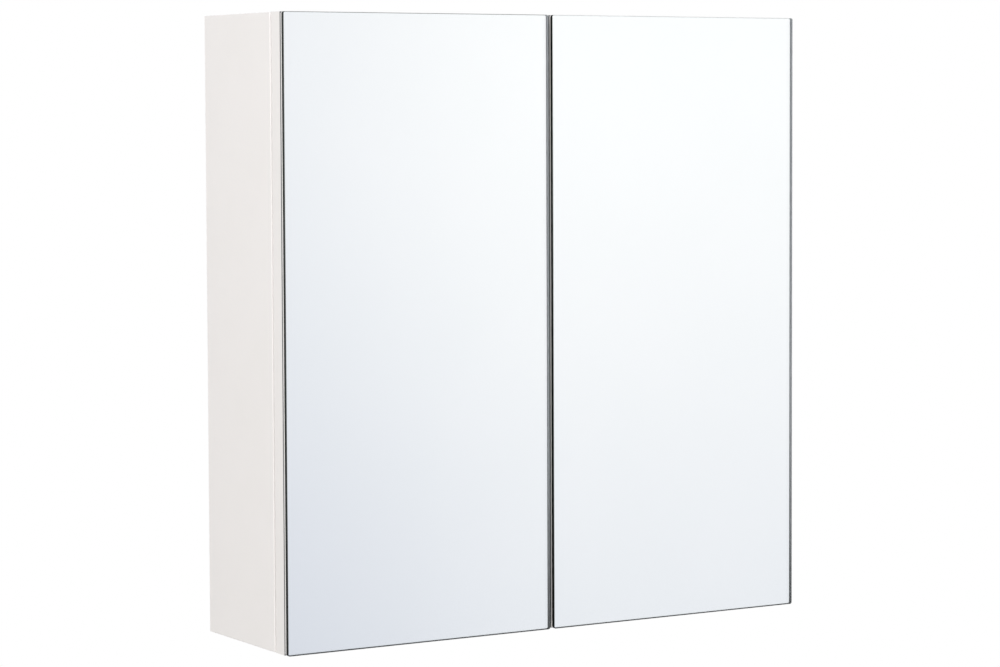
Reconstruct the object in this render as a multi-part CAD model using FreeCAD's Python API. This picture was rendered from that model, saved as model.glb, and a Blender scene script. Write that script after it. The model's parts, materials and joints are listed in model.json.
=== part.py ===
import FreeCAD
import Part
import math
import os

# Two-door mirror cabinet for a bathroom wall, in millimetres.
# +Z is up and the mirrors face -Y. The origin is on the wall plane, midway between the two wall screws.

Vector = FreeCAD.Vector
INWARD = Vector(1, 0, 0)
BACKWARD = Vector(0, 1, 0)
FORWARD = Vector(0, -1, 0)
UP = Vector(0, 0, 1)
ORIGIN = Vector(0, 0, 0)

# Carcass boards
CABINET_WIDTH = 580.0
CABINET_HEIGHT = 600.0
CARCASS_DEPTH = 140.0
PANEL_THICKNESS = 16.0
BOARD_ARRIS = 0.5
BACK_THICKNESS = 3.0
BACK_GROOVE_DEPTH = 6.0
BACK_GROOVE_FIT = 0.2
BACK_EDGE_FIT = 0.5
RAIL_THICKNESS = 16.0
UPPER_RAIL_HEIGHT = 80.0
LOWER_RAIL_HEIGHT = 60.0
WALL_SCREW_SPACING = 400.0
WALL_SCREW_HOLE_RADIUS = 3.0

# Shelves and the pins that carry them
SHELF_THICKNESS = 16.0
SHELF_END_FIT = 0.8
SHELF_FRONT_SETBACK = 20.0
SHELF_BACK_FIT = 0.8
SHELF_PIN_RADIUS = 2.5
SHELF_PIN_FIT = 0.05
SHELF_PIN_SKIN = 6.0
SHELF_LEDGE_RADIUS = 4.5
SHELF_LEDGE_LENGTH = 9.0
SHELF_PIN_FRONT_LINE = 37.0
SHELF_PIN_REAR_LINE = 45.0
SHELF_HOLE_PITCH = 32.0
SHELF_HOLES_EACH_WAY = 2
SHELF_NAMES = ("lower_shelf", "upper_shelf")

# Dowels and cam fittings in the corner joints
DOWEL_RADIUS = 3.9
DOWEL_FIT = 0.1
DOWEL_LENGTH = 30.0
DOWEL_END_FIT = 0.5
RAIL_DOWEL_SPACING = 36.0
JOINT_SKIN = 5.0
CAM_RADIUS = 7.4
CAM_FIT = 0.1
CAM_SKIN = 3.2
CAM_SETBACK = 24.0
CAM_FRONT_LINE = 30.0
CAM_REAR_LINE = 45.0
CAM_MOUTH_FIT = 0.4
CAM_RECESS_WIDTH = 1.6
CAM_RECESS_LENGTH = 7.0
CAM_RECESS_DEPTH = 2.5
CAM_COVER_THICKNESS = 0.8
CAM_BOLT_THREAD_RADIUS = 3.4
CAM_BOLT_SHAFT_RADIUS = 2.5
CAM_BOLT_HEAD_RADIUS = 3.2
CAM_BOLT_HEAD_LENGTH = 2.5
CAM_BOLT_FIT = 0.1
CAM_BOLT_BORE_FIT = 0.8

# Doors
DOOR_GAP = 2.5
CENTRE_GAP = 4.5
DOOR_THICKNESS = 18.0
DOOR_EDGE_ROUND = 1.5
TAPE_THICKNESS = 1.5
TAPE_WIDTH = 25.0
TAPE_INSET = 6.0
TAPE_STRIPS = 3
BACKING_THICKNESS = 2.0
BACKING_INSET = 0.2
GLASS_THICKNESS = 4.0
GLASS_ARRIS = 0.4
GLASS_CORNER = 2.0
BUMPER_RADIUS = 4.5
BUMPER_CLEARANCE = 0.3
BUMPER_SETBACK = 14.0
BUMPER_ROUND = 0.8

# Concealed cup hinges with one pin
HINGE_SETBACK = 100.0
CUP_RADIUS = 17.5
CUP_TAB = 3.0
CUP_SKIN = 3.9
CUP_FIT = 0.05
CUP_FLOOR_FIT = 0.1
CUP_WALL = 0.75
EYE_RADIUS = 3.0
EYE_WIDTH = 8.0
EYE_CLEARANCE = 0.3
EYE_FIT = 0.05
HINGE_PIN_RADIUS = 1.5
HINGE_PIN_END_FIT = 1.0
HINGE_PIN_FIT = 0.02
BOSS_WALL = 1.6
FLANGE_THICKNESS = 1.0
FLANGE_LIP = 2.0
FLANGE_WING_RADIUS = 6.5
FLANGE_SCREW_SPACING = 48.0
FLANGE_SCREW_OFFSET = 6.0
ARM_STANDOFF = 4.4
ARM_NECK_THICKNESS = 3.4
ARM_LEG_THICKNESS = 3.8
ARM_ELBOW_ROUND = 3.0
ARM_WIDTH = 16.0
ARM_HEIGHT = 7.0
ARM_ROUND = 2.5
ARM_NOSE = 6.0
ARM_LENGTH = 58.0
PLATE_LINE = 37.0
PLATE_SCREW_SPACING = 32.0
PLATE_WING_RADIUS = 6.0
PLATE_WING_THICKNESS = 2.5
PLATE_RIB_WIDTH = 14.0
PLATE_RIB_INSET = 6.0
FIXING_SCREW_RADIUS = 3.0
FIXING_SCREW_SETBACK = 10.0
FIXING_SLOT_FIT = 0.2
ADJUSTING_SCREW_RADIUS = 2.5
ADJUSTING_SCREW_LINE = 22.0
ADJUSTING_SCREW_FIT = 0.1

# Screws, all with pan heads and cross recesses
WOOD_SCREW_RADIUS = 1.7
WOOD_SCREW_HEAD_RADIUS = 3.4
WOOD_SCREW_HEAD_HEIGHT = 1.6
WOOD_SCREW_SKIN = 5.0
PLATE_SCREW_RADIUS = 2.4
PLATE_SCREW_HEAD_RADIUS = 4.4
PLATE_SCREW_HEAD_HEIGHT = 2.0
FIXING_SCREW_HEAD_RADIUS = 5.0
FIXING_SCREW_HEAD_HEIGHT = 3.0
SCREW_FIT = 0.1
SCREW_TIP_LENGTH = 2.0
SCREW_HEAD_ROUND = 0.6
SCREW_RECESS_SHARE = 1.2
SCREW_RECESS_WIDTH = 0.9
SCREW_RECESS_DEPTH = 0.9

# Push latches under the top panel
LATCH_OFFSET = 32.0
LATCH_FRONT_SETBACK = 1.0
LATCH_BODY_WIDTH = 14.0
LATCH_BODY_HEIGHT = 14.0
LATCH_BODY_LENGTH = 56.0
LATCH_BODY_ROUND = 2.0
LATCH_BASE_MARGIN = 5.0
LATCH_BASE_LENGTH = 18.0
LATCH_BASE_THICKNESS = 2.5
LATCH_BASE_SETBACK = 18.0
LATCH_SCREW_GAP = 1.6
LATCH_REAR_WALL = 4.0
PLUNGER_RADIUS = 4.0
PLUNGER_FIT = 0.1
PLUNGER_TIP_ROUND = 0.6
MAGNET_RADIUS = 2.8
MAGNET_LENGTH = 4.0
MAGNET_FIT = 0.02
STRIKE_RADIUS = 8.0
STRIKE_THICKNESS = 1.0
STRIKE_CLEARANCE = 0.3
SPRING_WIRE_RADIUS = 0.4
SPRING_TURNS = 6
SPRING_LENGTH = 15.8
SPRING_FIT = 0.2

# Places worked out from the sizes above
HALF_WIDTH = CABINET_WIDTH / 2
INNER_X = HALF_WIDTH - PANEL_THICKNESS
TOP_Z = PANEL_THICKNESS + UPPER_RAIL_HEIGHT / 2
BOTTOM_Z = TOP_Z - CABINET_HEIGHT
CEILING_Z = TOP_Z - PANEL_THICKNESS
FLOOR_Z = BOTTOM_Z + PANEL_THICKNESS
FRONT_Y = -CARCASS_DEPTH
BACK_REAR_Y = -RAIL_THICKNESS
BACK_FRONT_Y = BACK_REAR_Y - BACK_THICKNESS
DOOR_BACK_Y = FRONT_Y - DOOR_GAP
DOOR_FRONT_Y = DOOR_BACK_Y - DOOR_THICKNESS
BACKING_BACK_Y = DOOR_FRONT_Y - TAPE_THICKNESS
GLASS_BACK_Y = BACKING_BACK_Y - BACKING_THICKNESS
GLASS_FRONT_Y = GLASS_BACK_Y - GLASS_THICKNESS
DOOR_INNER_X = -CENTRE_GAP / 2

PANEL_MID_Z = {"top": TOP_Z - PANEL_THICKNESS / 2, "bottom": BOTTOM_Z + PANEL_THICKNESS / 2}
CAM_LINES_Y = (FRONT_Y + CAM_FRONT_LINE, -CAM_REAR_LINE)
CAM_X = -INNER_X + CAM_SETBACK
CAM_HEIGHT = PANEL_THICKNESS - CAM_SKIN - CAM_COVER_THICKNESS
CAM_BOLT_HOLE_DEPTH = PANEL_THICKNESS - JOINT_SKIN
CAM_BOLT_BORE_RADIUS = CAM_BOLT_HEAD_RADIUS + CAM_BOLT_BORE_FIT
CAM_MOUTH_RADIUS = CAM_BOLT_HEAD_RADIUS + CAM_MOUTH_FIT
DOWEL_Y = sum(CAM_LINES_Y) / 2
DOWEL_SIDE_DEPTH = PANEL_THICKNESS - JOINT_SKIN
RAIL_Y = -RAIL_THICKNESS / 2
UPPER_RAIL_Z = CEILING_Z - UPPER_RAIL_HEIGHT / 2
LOWER_RAIL_Z = FLOOR_Z + LOWER_RAIL_HEIGHT / 2

SHELF_SPACE = (CEILING_Z - FLOOR_Z - len(SHELF_NAMES) * SHELF_THICKNESS) / (len(SHELF_NAMES) + 1)
SHELF_UNDERSIDES = [
    FLOOR_Z + SHELF_SPACE + index * (SHELF_SPACE + SHELF_THICKNESS) for index in range(len(SHELF_NAMES))
]
SHELF_PIN_LINES_Y = (FRONT_Y + SHELF_PIN_FRONT_LINE, -SHELF_PIN_REAR_LINE)
SHELF_PIN_DEPTH = PANEL_THICKNESS - SHELF_PIN_SKIN

HINGE_LEVELS = {"upper": TOP_Z - HINGE_SETBACK, "lower": BOTTOM_Z + HINGE_SETBACK}
CUP_X = -HALF_WIDTH + CUP_TAB + CUP_RADIUS
CUP_DEPTH = DOOR_THICKNESS - CUP_SKIN
CUP_OUTER_RADIUS = CUP_RADIUS - CUP_FIT
CUP_INNER_RADIUS = CUP_OUTER_RADIUS - CUP_WALL
CUP_BOTTOM_Y = DOOR_BACK_Y - CUP_DEPTH + CUP_FLOOR_FIT
CUP_FLOOR_Y = CUP_BOTTOM_Y + CUP_WALL
CUP_REACH_AT_EYE = math.sqrt(CUP_INNER_RADIUS ** 2 - (EYE_WIDTH / 2) ** 2)
PIN_X = CUP_X - CUP_REACH_AT_EYE + EYE_CLEARANCE + EYE_RADIUS
PIN_Y = CUP_FLOOR_Y + EYE_CLEARANCE + EYE_RADIUS
HINGE_PIN_REACH = math.sqrt(CUP_INNER_RADIUS ** 2 - (CUP_X - PIN_X) ** 2) - HINGE_PIN_END_FIT
FLANGE_Y = DOOR_BACK_Y + FLANGE_THICKNESS
FLANGE_SCREW_X = CUP_X + FLANGE_SCREW_OFFSET
ARM_UNDER_X = -INNER_X + ARM_STANDOFF
ARM_TOP_X = ARM_UNDER_X + ARM_HEIGHT
ARM_LEG_X = ARM_UNDER_X + ARM_LEG_THICKNESS
ARM_REAR_Y = FRONT_Y + ARM_LENGTH
PLATE_Y = FRONT_Y + PLATE_LINE
FIXING_Y = ARM_REAR_Y - FIXING_SCREW_SETBACK
ADJUSTING_Y = FRONT_Y + ADJUSTING_SCREW_LINE
PANEL_SCREW_BITE = PANEL_THICKNESS - WOOD_SCREW_SKIN
DOOR_SCREW_BITE = DOOR_THICKNESS - WOOD_SCREW_SKIN

LATCH_X = -LATCH_OFFSET
LATCH_FRONT_Y = FRONT_Y + LATCH_FRONT_SETBACK
LATCH_AXIS_Z = CEILING_Z - LATCH_BODY_HEIGHT / 2
LATCH_BORE_END_Y = LATCH_FRONT_Y + LATCH_BODY_LENGTH - LATCH_REAR_WALL
LATCH_SCREW_Y = LATCH_FRONT_Y + LATCH_BASE_SETBACK + LATCH_BASE_LENGTH / 2
LATCH_SCREW_SPACING = LATCH_BODY_WIDTH + 2 * (WOOD_SCREW_HEAD_RADIUS + LATCH_SCREW_GAP)
LATCH_BASE_WIDTH = LATCH_SCREW_SPACING + 2 * LATCH_BASE_MARGIN
PLUNGER_TIP_Y = DOOR_BACK_Y + STRIKE_THICKNESS + STRIKE_CLEARANCE
PLUNGER_REAR_Y = LATCH_BORE_END_Y - SPRING_LENGTH - 2 * SPRING_FIT
PLUNGER_LENGTH = PLUNGER_REAR_Y - PLUNGER_TIP_Y


def box(x_range, y_range, z_range):
    """A box between two values on each axis."""
    corner = Vector(min(x_range), min(y_range), min(z_range))
    size = [abs(high - low) for low, high in (x_range, y_range, z_range)]
    return Part.makeBox(size[0], size[1], size[2], corner)


def rod(start, direction, radius, length):
    """A cylinder from a point along a direction."""
    return Part.makeCylinder(radius, length, start, direction)


def board(x_range, y_range, z_range):
    """A board whose edges are broken by a small arris."""
    plain = box(x_range, y_range, z_range)
    return plain.makeChamfer(BOARD_ARRIS, plain.Edges)


def mirrored(shape):
    """The right-hand twin of a left-hand shape."""
    return shape.mirror(ORIGIN, INWARD)


def both_sides(shapes):
    """Left-hand shapes and their right-hand twins, as one group."""
    return Part.makeCompound(shapes + [mirrored(shape) for shape in shapes])


def edges_along(shape, axis, near):
    """The straight edges of a shape that run along an axis and pass near a point."""
    found = []
    for edge in shape.Edges:
        if len(edge.Vertexes) != 2:
            continue
        start, end = (vertex.Point for vertex in edge.Vertexes)
        run = end - start
        if run.cross(axis).Length > 1e-6:
            continue
        offset = near - start
        if offset.cross(axis).Length < 1e-4:
            found.append(edge)
    return found


def slot_plate(middle, thickness_axis, thickness, half_length, radius):
    """A plate with round ends, long in Z, that rises from its middle point along an axis."""
    across = thickness_axis.cross(UP)
    ends = [middle + UP * half_length, middle - UP * half_length]
    reach = across * radius
    corners = [ends[0] + reach, ends[1] + reach, ends[1] - reach, ends[0] - reach, ends[0] + reach]
    strip = Part.Face(Part.makePolygon(corners)).extrude(thickness_axis * thickness)
    for end in ends:
        strip = strip.fuse(rod(end, thickness_axis, radius, thickness))
    return strip.removeSplitter()


def pan_screw(seat, direction, radius, length, head_radius, head_height):
    """A pan-head screw with its head's underside on the seat and its shank along the direction."""
    head = Part.makeCylinder(head_radius, head_height)
    rim = [edge for edge in head.Edges if len(edge.Vertexes) == 1 and edge.BoundBox.ZMin > head_height / 2]
    head = head.makeFillet(SCREW_HEAD_ROUND, rim)
    shank_length = length - SCREW_TIP_LENGTH
    shank = rod(ORIGIN, -UP, radius, shank_length)
    tip = Part.makeCone(radius, radius / 4, SCREW_TIP_LENGTH, -UP * shank_length, -UP)
    recess_half = head_radius * SCREW_RECESS_SHARE / 2
    recess_z = (head_height - SCREW_RECESS_DEPTH, head_height)
    width = (-SCREW_RECESS_WIDTH / 2, SCREW_RECESS_WIDTH / 2)
    span = (-recess_half, recess_half)
    recess = box(span, width, recess_z).fuse(box(width, span, recess_z))
    screw = head.fuse([shank, tip]).cut(recess).removeSplitter()
    screw.Placement = FreeCAD.Placement(seat, FreeCAD.Rotation(-UP, direction))
    return screw


def back_groove(length_axis):
    """The room that the back panel's edge needs, cut out of the boards round it."""
    y_range = (BACK_REAR_Y, BACK_FRONT_Y - BACK_GROOVE_FIT)
    reach_x = INNER_X + BACK_GROOVE_DEPTH
    reach_z = (FLOOR_Z - BACK_GROOVE_DEPTH, CEILING_Z + BACK_GROOVE_DEPTH)
    if length_axis == "z":
        return box((-reach_x, reach_x), y_range, reach_z)
    return box((-INNER_X, INNER_X), y_range, reach_z)


def dowel_places():
    """The middle lines of the dowels in the left side panel, as Y and Z."""
    places = [(DOWEL_Y, mid_z) for mid_z in PANEL_MID_Z.values()]
    for rail_z in (UPPER_RAIL_Z, LOWER_RAIL_Z):
        for step in (-0.5, 0.5):
            places.append((RAIL_Y, rail_z + step * RAIL_DOWEL_SPACING))
    return places


def dowel_holes():
    """The holes for the left-hand dowels, through the joint between side panel and board."""
    start_x = -INNER_X - DOWEL_SIDE_DEPTH - DOWEL_END_FIT
    length = DOWEL_LENGTH + 2 * DOWEL_END_FIT
    return [rod(Vector(start_x, y, z), INWARD, DOWEL_RADIUS + DOWEL_FIT, length) for y, z in dowel_places()]


def dowels():
    """All the dowels of the carcass."""
    start_x = -INNER_X - DOWEL_SIDE_DEPTH
    starts = [Vector(start_x, y, z) for y, z in dowel_places()]
    return both_sides([rod(start, INWARD, DOWEL_RADIUS, DOWEL_LENGTH) for start in starts])


def cam_places():
    """The cam fittings of the left-hand corners, as Y, middle Z and the outward direction."""
    outward = {"top": UP, "bottom": -UP}
    return [(y, PANEL_MID_Z[name], outward[name]) for name in PANEL_MID_Z for y in CAM_LINES_Y]


def cam_bolts():
    """The bolts that screw into the side panels and hook into the cams."""
    bolts = []
    thread_start = -INNER_X - CAM_BOLT_HOLE_DEPTH + CAM_BOLT_FIT
    for y, z, outward in cam_places():
        thread_length = CAM_BOLT_HOLE_DEPTH - CAM_BOLT_FIT
        thread = rod(Vector(thread_start, y, z), INWARD, CAM_BOLT_THREAD_RADIUS, thread_length)
        shaft = rod(Vector(-INNER_X, y, z), INWARD, CAM_BOLT_SHAFT_RADIUS, CAM_SETBACK)
        head_start = Vector(CAM_X - CAM_BOLT_HEAD_LENGTH / 2, y, z)
        head = rod(head_start, INWARD, CAM_BOLT_HEAD_RADIUS, CAM_BOLT_HEAD_LENGTH)
        bolts.append(thread.fuse([shaft, head]).removeSplitter())
    return both_sides(bolts)


def cam_bolt_holes_in_side():
    """The threaded holes for the cam bolts in the left side panel."""
    start_x = -INNER_X - CAM_BOLT_HOLE_DEPTH
    radius = CAM_BOLT_THREAD_RADIUS + CAM_BOLT_FIT
    return [rod(Vector(start_x, y, z), INWARD, radius, CAM_BOLT_HOLE_DEPTH) for y, z, outward in cam_places()]


def cam_bores():
    """The bores for cams and their bolts at the left end of the top and bottom panels."""
    bores = []
    for y, z, outward in cam_places():
        face = Vector(CAM_X, y, z) + outward * (PANEL_THICKNESS / 2)
        bores.append(rod(face, -outward, CAM_RADIUS + CAM_FIT, CAM_COVER_THICKNESS + CAM_HEIGHT))
        bores.append(rod(Vector(-INNER_X, y, z), INWARD, CAM_BOLT_BORE_RADIUS, CAM_SETBACK))
    return bores


def cam_locks():
    """The turning cams, each with a mouth for its bolt and a cross recess."""
    cams = []
    for y, z, outward in cam_places():
        face = Vector(CAM_X, y, z) + outward * (PANEL_THICKNESS / 2 - CAM_COVER_THICKNESS)
        cam = rod(face, -outward, CAM_RADIUS, CAM_HEIGHT)
        mouth_start = Vector(CAM_X - CAM_RADIUS - CAM_FIT, y, z)
        mouth_length = CAM_RADIUS + CAM_FIT + CAM_BOLT_HEAD_LENGTH
        mouth = rod(mouth_start, INWARD, CAM_MOUTH_RADIUS, mouth_length)
        floor = face - outward * CAM_RECESS_DEPTH
        half_long = CAM_RECESS_LENGTH / 2
        half_wide = CAM_RECESS_WIDTH / 2
        recess_z = (floor.z, face.z)
        bar = box((CAM_X - half_long, CAM_X + half_long), (y - half_wide, y + half_wide), recess_z)
        cross_bar = box((CAM_X - half_wide, CAM_X + half_wide), (y - half_long, y + half_long), recess_z)
        cams.append(cam.cut([mouth, bar, cross_bar]))
    return both_sides(cams)


def cam_covers():
    """The plastic discs that close the cam bores, flush with the boards."""
    covers = []
    for y, z, outward in cam_places():
        seat = Vector(CAM_X, y, z) + outward * (PANEL_THICKNESS / 2 - CAM_COVER_THICKNESS)
        covers.append(rod(seat, outward, CAM_RADIUS, CAM_COVER_THICKNESS))
    return both_sides(covers)


def shelf_pin_holes():
    """Rows of holes in the left side panel, so that each shelf can be set higher or lower."""
    holes = []
    start_x = -INNER_X - SHELF_PIN_DEPTH
    steps = range(-SHELF_HOLES_EACH_WAY, SHELF_HOLES_EACH_WAY + 1)
    for underside in SHELF_UNDERSIDES:
        for step in steps:
            z = underside - SHELF_PIN_RADIUS + step * SHELF_HOLE_PITCH
            for y in SHELF_PIN_LINES_Y:
                radius = SHELF_PIN_RADIUS + SHELF_PIN_FIT
                holes.append(rod(Vector(start_x, y, z), INWARD, radius, SHELF_PIN_DEPTH))
    return holes


def shelf_pins():
    """Pegs with a flat-topped ledge under each end of each shelf."""
    pins = []
    start_x = -INNER_X - SHELF_PIN_DEPTH + SHELF_PIN_FIT
    peg_length = SHELF_PIN_DEPTH - SHELF_PIN_FIT + SHELF_LEDGE_LENGTH
    for underside in SHELF_UNDERSIDES:
        for y in SHELF_PIN_LINES_Y:
            peg = rod(Vector(start_x, y, underside - SHELF_PIN_RADIUS), INWARD, SHELF_PIN_RADIUS, peg_length)
            ledge = rod(Vector(-INNER_X, y, underside), INWARD, SHELF_LEDGE_RADIUS, SHELF_LEDGE_LENGTH)
            above = box(
                (-INNER_X, -INNER_X + SHELF_LEDGE_LENGTH),
                (y - SHELF_LEDGE_RADIUS, y + SHELF_LEDGE_RADIUS),
                (underside, underside + SHELF_LEDGE_RADIUS),
            )
            pins.append(peg.fuse(ledge.cut(above)).removeSplitter())
    return both_sides(pins)


def shelf(underside):
    """One shelf board on its pins."""
    reach = INNER_X - SHELF_END_FIT
    y_range = (FRONT_Y + SHELF_FRONT_SETBACK, BACK_FRONT_Y - SHELF_BACK_FIT)
    return board((-reach, reach), y_range, (underside, underside + SHELF_THICKNESS))


def plate_screw_places():
    """Where the left hinge plates are screwed to the side panel, on the plates' wings."""
    seat_x = -INNER_X + PLATE_WING_THICKNESS
    places = []
    for level in HINGE_LEVELS.values():
        for step in (-0.5, 0.5):
            places.append(Vector(seat_x, PLATE_Y, level + step * PLATE_SCREW_SPACING))
    return places


def left_side_panel():
    """The left side panel with its groove and all the holes on its inner face."""
    panel = board((-HALF_WIDTH, -INNER_X), (FRONT_Y, 0), (BOTTOM_Z, TOP_Z))
    cuts = [back_groove("z")] + dowel_holes() + cam_bolt_holes_in_side() + shelf_pin_holes()
    for place in plate_screw_places():
        depth = PLATE_WING_THICKNESS + PANEL_SCREW_BITE
        cuts.append(rod(place, -INWARD, PLATE_SCREW_RADIUS + SCREW_FIT, depth))
    return panel.cut(cuts)


def level_panel(z_range):
    """The top or bottom panel between the sides, before its latch holes."""
    panel = board((-INNER_X, INNER_X), (FRONT_Y, 0), z_range)
    left_cuts = cam_bores() + dowel_holes()
    right_cuts = [mirrored(cut) for cut in left_cuts]
    return panel.cut([back_groove("x")] + left_cuts + right_cuts)


def latch_screw_places():
    """Where the left latch is screwed up into the top panel, on its base's underside."""
    seat_z = CEILING_Z - LATCH_BASE_THICKNESS
    return [Vector(LATCH_X + step * LATCH_SCREW_SPACING, LATCH_SCREW_Y, seat_z) for step in (-0.5, 0.5)]


def top_panel():
    """The top panel, with pilot holes for both latches on its underside."""
    pilots = []
    for place in latch_screw_places():
        pilots.append(rod(place, UP, WOOD_SCREW_RADIUS + SCREW_FIT, LATCH_BASE_THICKNESS + PANEL_SCREW_BITE))
    return level_panel((CEILING_Z, TOP_Z)).cut(pilots + [mirrored(pilot) for pilot in pilots])


def wall_screw_holes():
    """The two holes for the wall screws, through the hanging rail and the back panel."""
    length = RAIL_THICKNESS + BACK_THICKNESS
    holes = []
    for step in (-0.5, 0.5):
        holes.append(rod(Vector(step * WALL_SCREW_SPACING, 0, 0), FORWARD, WALL_SCREW_HOLE_RADIUS, length))
    return holes


def back_panel():
    """The thin back panel, held in grooves in front of the rails."""
    reach_x = INNER_X + BACK_GROOVE_DEPTH - BACK_EDGE_FIT
    low_z = FLOOR_Z - BACK_GROOVE_DEPTH + BACK_EDGE_FIT
    high_z = CEILING_Z + BACK_GROOVE_DEPTH - BACK_EDGE_FIT
    panel = box((-reach_x, reach_x), (BACK_REAR_Y, BACK_FRONT_Y), (low_z, high_z))
    return panel.cut(wall_screw_holes())


def rail(z_range):
    """A rail between the sides, behind the back panel."""
    plain = board((-INNER_X, INNER_X), (BACK_REAR_Y, 0), z_range)
    holes = dowel_holes()
    return plain.cut(holes + [mirrored(hole) for hole in holes])


def cup_screw_places(level):
    """Where one left hinge cup is screwed to its door, on the flange."""
    return [
        Vector(FLANGE_SCREW_X, FLANGE_Y, level + step * FLANGE_SCREW_SPACING) for step in (-0.5, 0.5)
    ]


def left_door_board():
    """The left door's board, bored for its hinge cups."""
    plain = box((-HALF_WIDTH, DOOR_INNER_X), (DOOR_FRONT_Y, DOOR_BACK_Y), (BOTTOM_Z, TOP_Z))
    hinge_edge = edges_along(plain, UP, Vector(-HALF_WIDTH, DOOR_BACK_Y, 0))
    rounded = plain.makeFillet(DOOR_EDGE_ROUND, hinge_edge)
    cuts = []
    for level in HINGE_LEVELS.values():
        cuts.append(rod(Vector(CUP_X, DOOR_BACK_Y, level), FORWARD, CUP_RADIUS, CUP_DEPTH))
        for place in cup_screw_places(level):
            depth = FLANGE_THICKNESS + DOOR_SCREW_BITE
            cuts.append(rod(place, FORWARD, WOOD_SCREW_RADIUS + SCREW_FIT, depth))
    return rounded.cut(cuts)


def sheet_with_corners(x_range, y_range, z_range, radius):
    """An upright sheet that faces the front, with its four corners rounded."""
    plain = box(x_range, y_range, z_range)
    through = abs(y_range[1] - y_range[0])
    corners = [edge for edge in plain.Edges if edge.BoundBox.YLength > through / 2]
    return plain.makeFillet(radius, corners)


def left_door_mirror():
    """The left mirror, as large as its door, with rounded corners and a ground arris round the front."""
    x_range = (-HALF_WIDTH, DOOR_INNER_X)
    glass = sheet_with_corners(x_range, (GLASS_FRONT_Y, GLASS_BACK_Y), (BOTTOM_Z, TOP_Z), GLASS_CORNER)
    front = [edge for edge in glass.Edges if edge.BoundBox.YMax < GLASS_FRONT_Y + GLASS_THICKNESS / 2]
    return glass.makeChamfer(GLASS_ARRIS, front)


def left_door_backing():
    """The white sheet bonded to the back of the left mirror, which carries the glass."""
    x_range = (-HALF_WIDTH + BACKING_INSET, DOOR_INNER_X - BACKING_INSET)
    z_range = (BOTTOM_Z + BACKING_INSET, TOP_Z - BACKING_INSET)
    return sheet_with_corners(x_range, (GLASS_BACK_Y, BACKING_BACK_Y), z_range, GLASS_CORNER)


def left_door_tape():
    """Upright strips of foam tape between the left door's board and its mirror's backing."""
    first_x = -HALF_WIDTH + TAPE_INSET
    last_x = DOOR_INNER_X - TAPE_INSET - TAPE_WIDTH
    strips = []
    for index in range(TAPE_STRIPS):
        x = first_x + (last_x - first_x) * index / (TAPE_STRIPS - 1)
        z_range = (BOTTOM_Z + TAPE_INSET, TOP_Z - TAPE_INSET)
        strips.append(box((x, x + TAPE_WIDTH), (BACKING_BACK_Y, DOOR_FRONT_Y), z_range))
    return Part.makeCompound(strips)


def left_door_bumpers():
    """Soft stops on the left door's back, facing the front edges of the top and bottom panels."""
    height = DOOR_GAP - BUMPER_CLEARANCE
    stops = []
    for mid_z in PANEL_MID_Z.values():
        stop = rod(Vector(DOOR_INNER_X - BUMPER_SETBACK, DOOR_BACK_Y, mid_z), BACKWARD, BUMPER_RADIUS, height)
        rim = [edge for edge in stop.Edges if edge.BoundBox.YMin > DOOR_BACK_Y + height / 2]
        stops.append(stop.makeFillet(BUMPER_ROUND, rim))
    return Part.makeCompound(stops)


def left_door_strike():
    """The steel disc on the left door's back that the latch's magnet holds."""
    return rod(Vector(LATCH_X, DOOR_BACK_Y, LATCH_AXIS_Z), BACKWARD, STRIKE_RADIUS, STRIKE_THICKNESS)


def hinge_cup(level):
    """A left hinge's cup with its flange and the two bosses that hold the pin."""
    mouth = Vector(CUP_X, FLANGE_Y, level)
    hollow = rod(mouth, FORWARD, CUP_INNER_RADIUS, FLANGE_Y - CUP_FLOOR_Y)
    shell = rod(mouth, FORWARD, CUP_OUTER_RADIUS, FLANGE_Y - CUP_BOTTOM_Y)
    disc = rod(mouth, FORWARD, CUP_RADIUS + FLANGE_LIP, FLANGE_THICKNESS)
    wing_middle = Vector(FLANGE_SCREW_X, FLANGE_Y, level)
    wing = slot_plate(wing_middle, FORWARD, FLANGE_THICKNESS, FLANGE_SCREW_SPACING / 2, FLANGE_WING_RADIUS)
    beyond_tab = box(
        (-HALF_WIDTH, CUP_X - CUP_RADIUS),
        (DOOR_BACK_Y, FLANGE_Y),
        (level - FLANGE_SCREW_SPACING, level + FLANGE_SCREW_SPACING),
    )
    flange = disc.fuse(wing).cut(beyond_tab)
    for place in cup_screw_places(level):
        flange = flange.cut(rod(place, FORWARD, WOOD_SCREW_RADIUS + SCREW_FIT, FLANGE_THICKNESS))
    boss_reach = HINGE_PIN_RADIUS + BOSS_WALL
    bosses = []
    for side in (-1, 1):
        boss = box(
            (CUP_X - CUP_INNER_RADIUS, PIN_X + boss_reach),
            (CUP_FLOOR_Y, PIN_Y + boss_reach),
            (level + side * (EYE_WIDTH / 2 + EYE_CLEARANCE), level + side * CUP_INNER_RADIUS),
        )
        bosses.append(boss.common(hollow))
    pin_end = Vector(PIN_X, PIN_Y, level - HINGE_PIN_REACH)
    pin_bore = rod(pin_end, UP, HINGE_PIN_RADIUS + HINGE_PIN_FIT, 2 * HINGE_PIN_REACH)
    return shell.fuse(flange).cut(hollow).fuse(bosses).cut(pin_bore).removeSplitter()


def hinge_pin(level):
    """The pin that a left door turns on, held in its cup's bosses."""
    return rod(Vector(PIN_X, PIN_Y, level - HINGE_PIN_REACH), UP, HINGE_PIN_RADIUS, 2 * HINGE_PIN_REACH)


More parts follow.
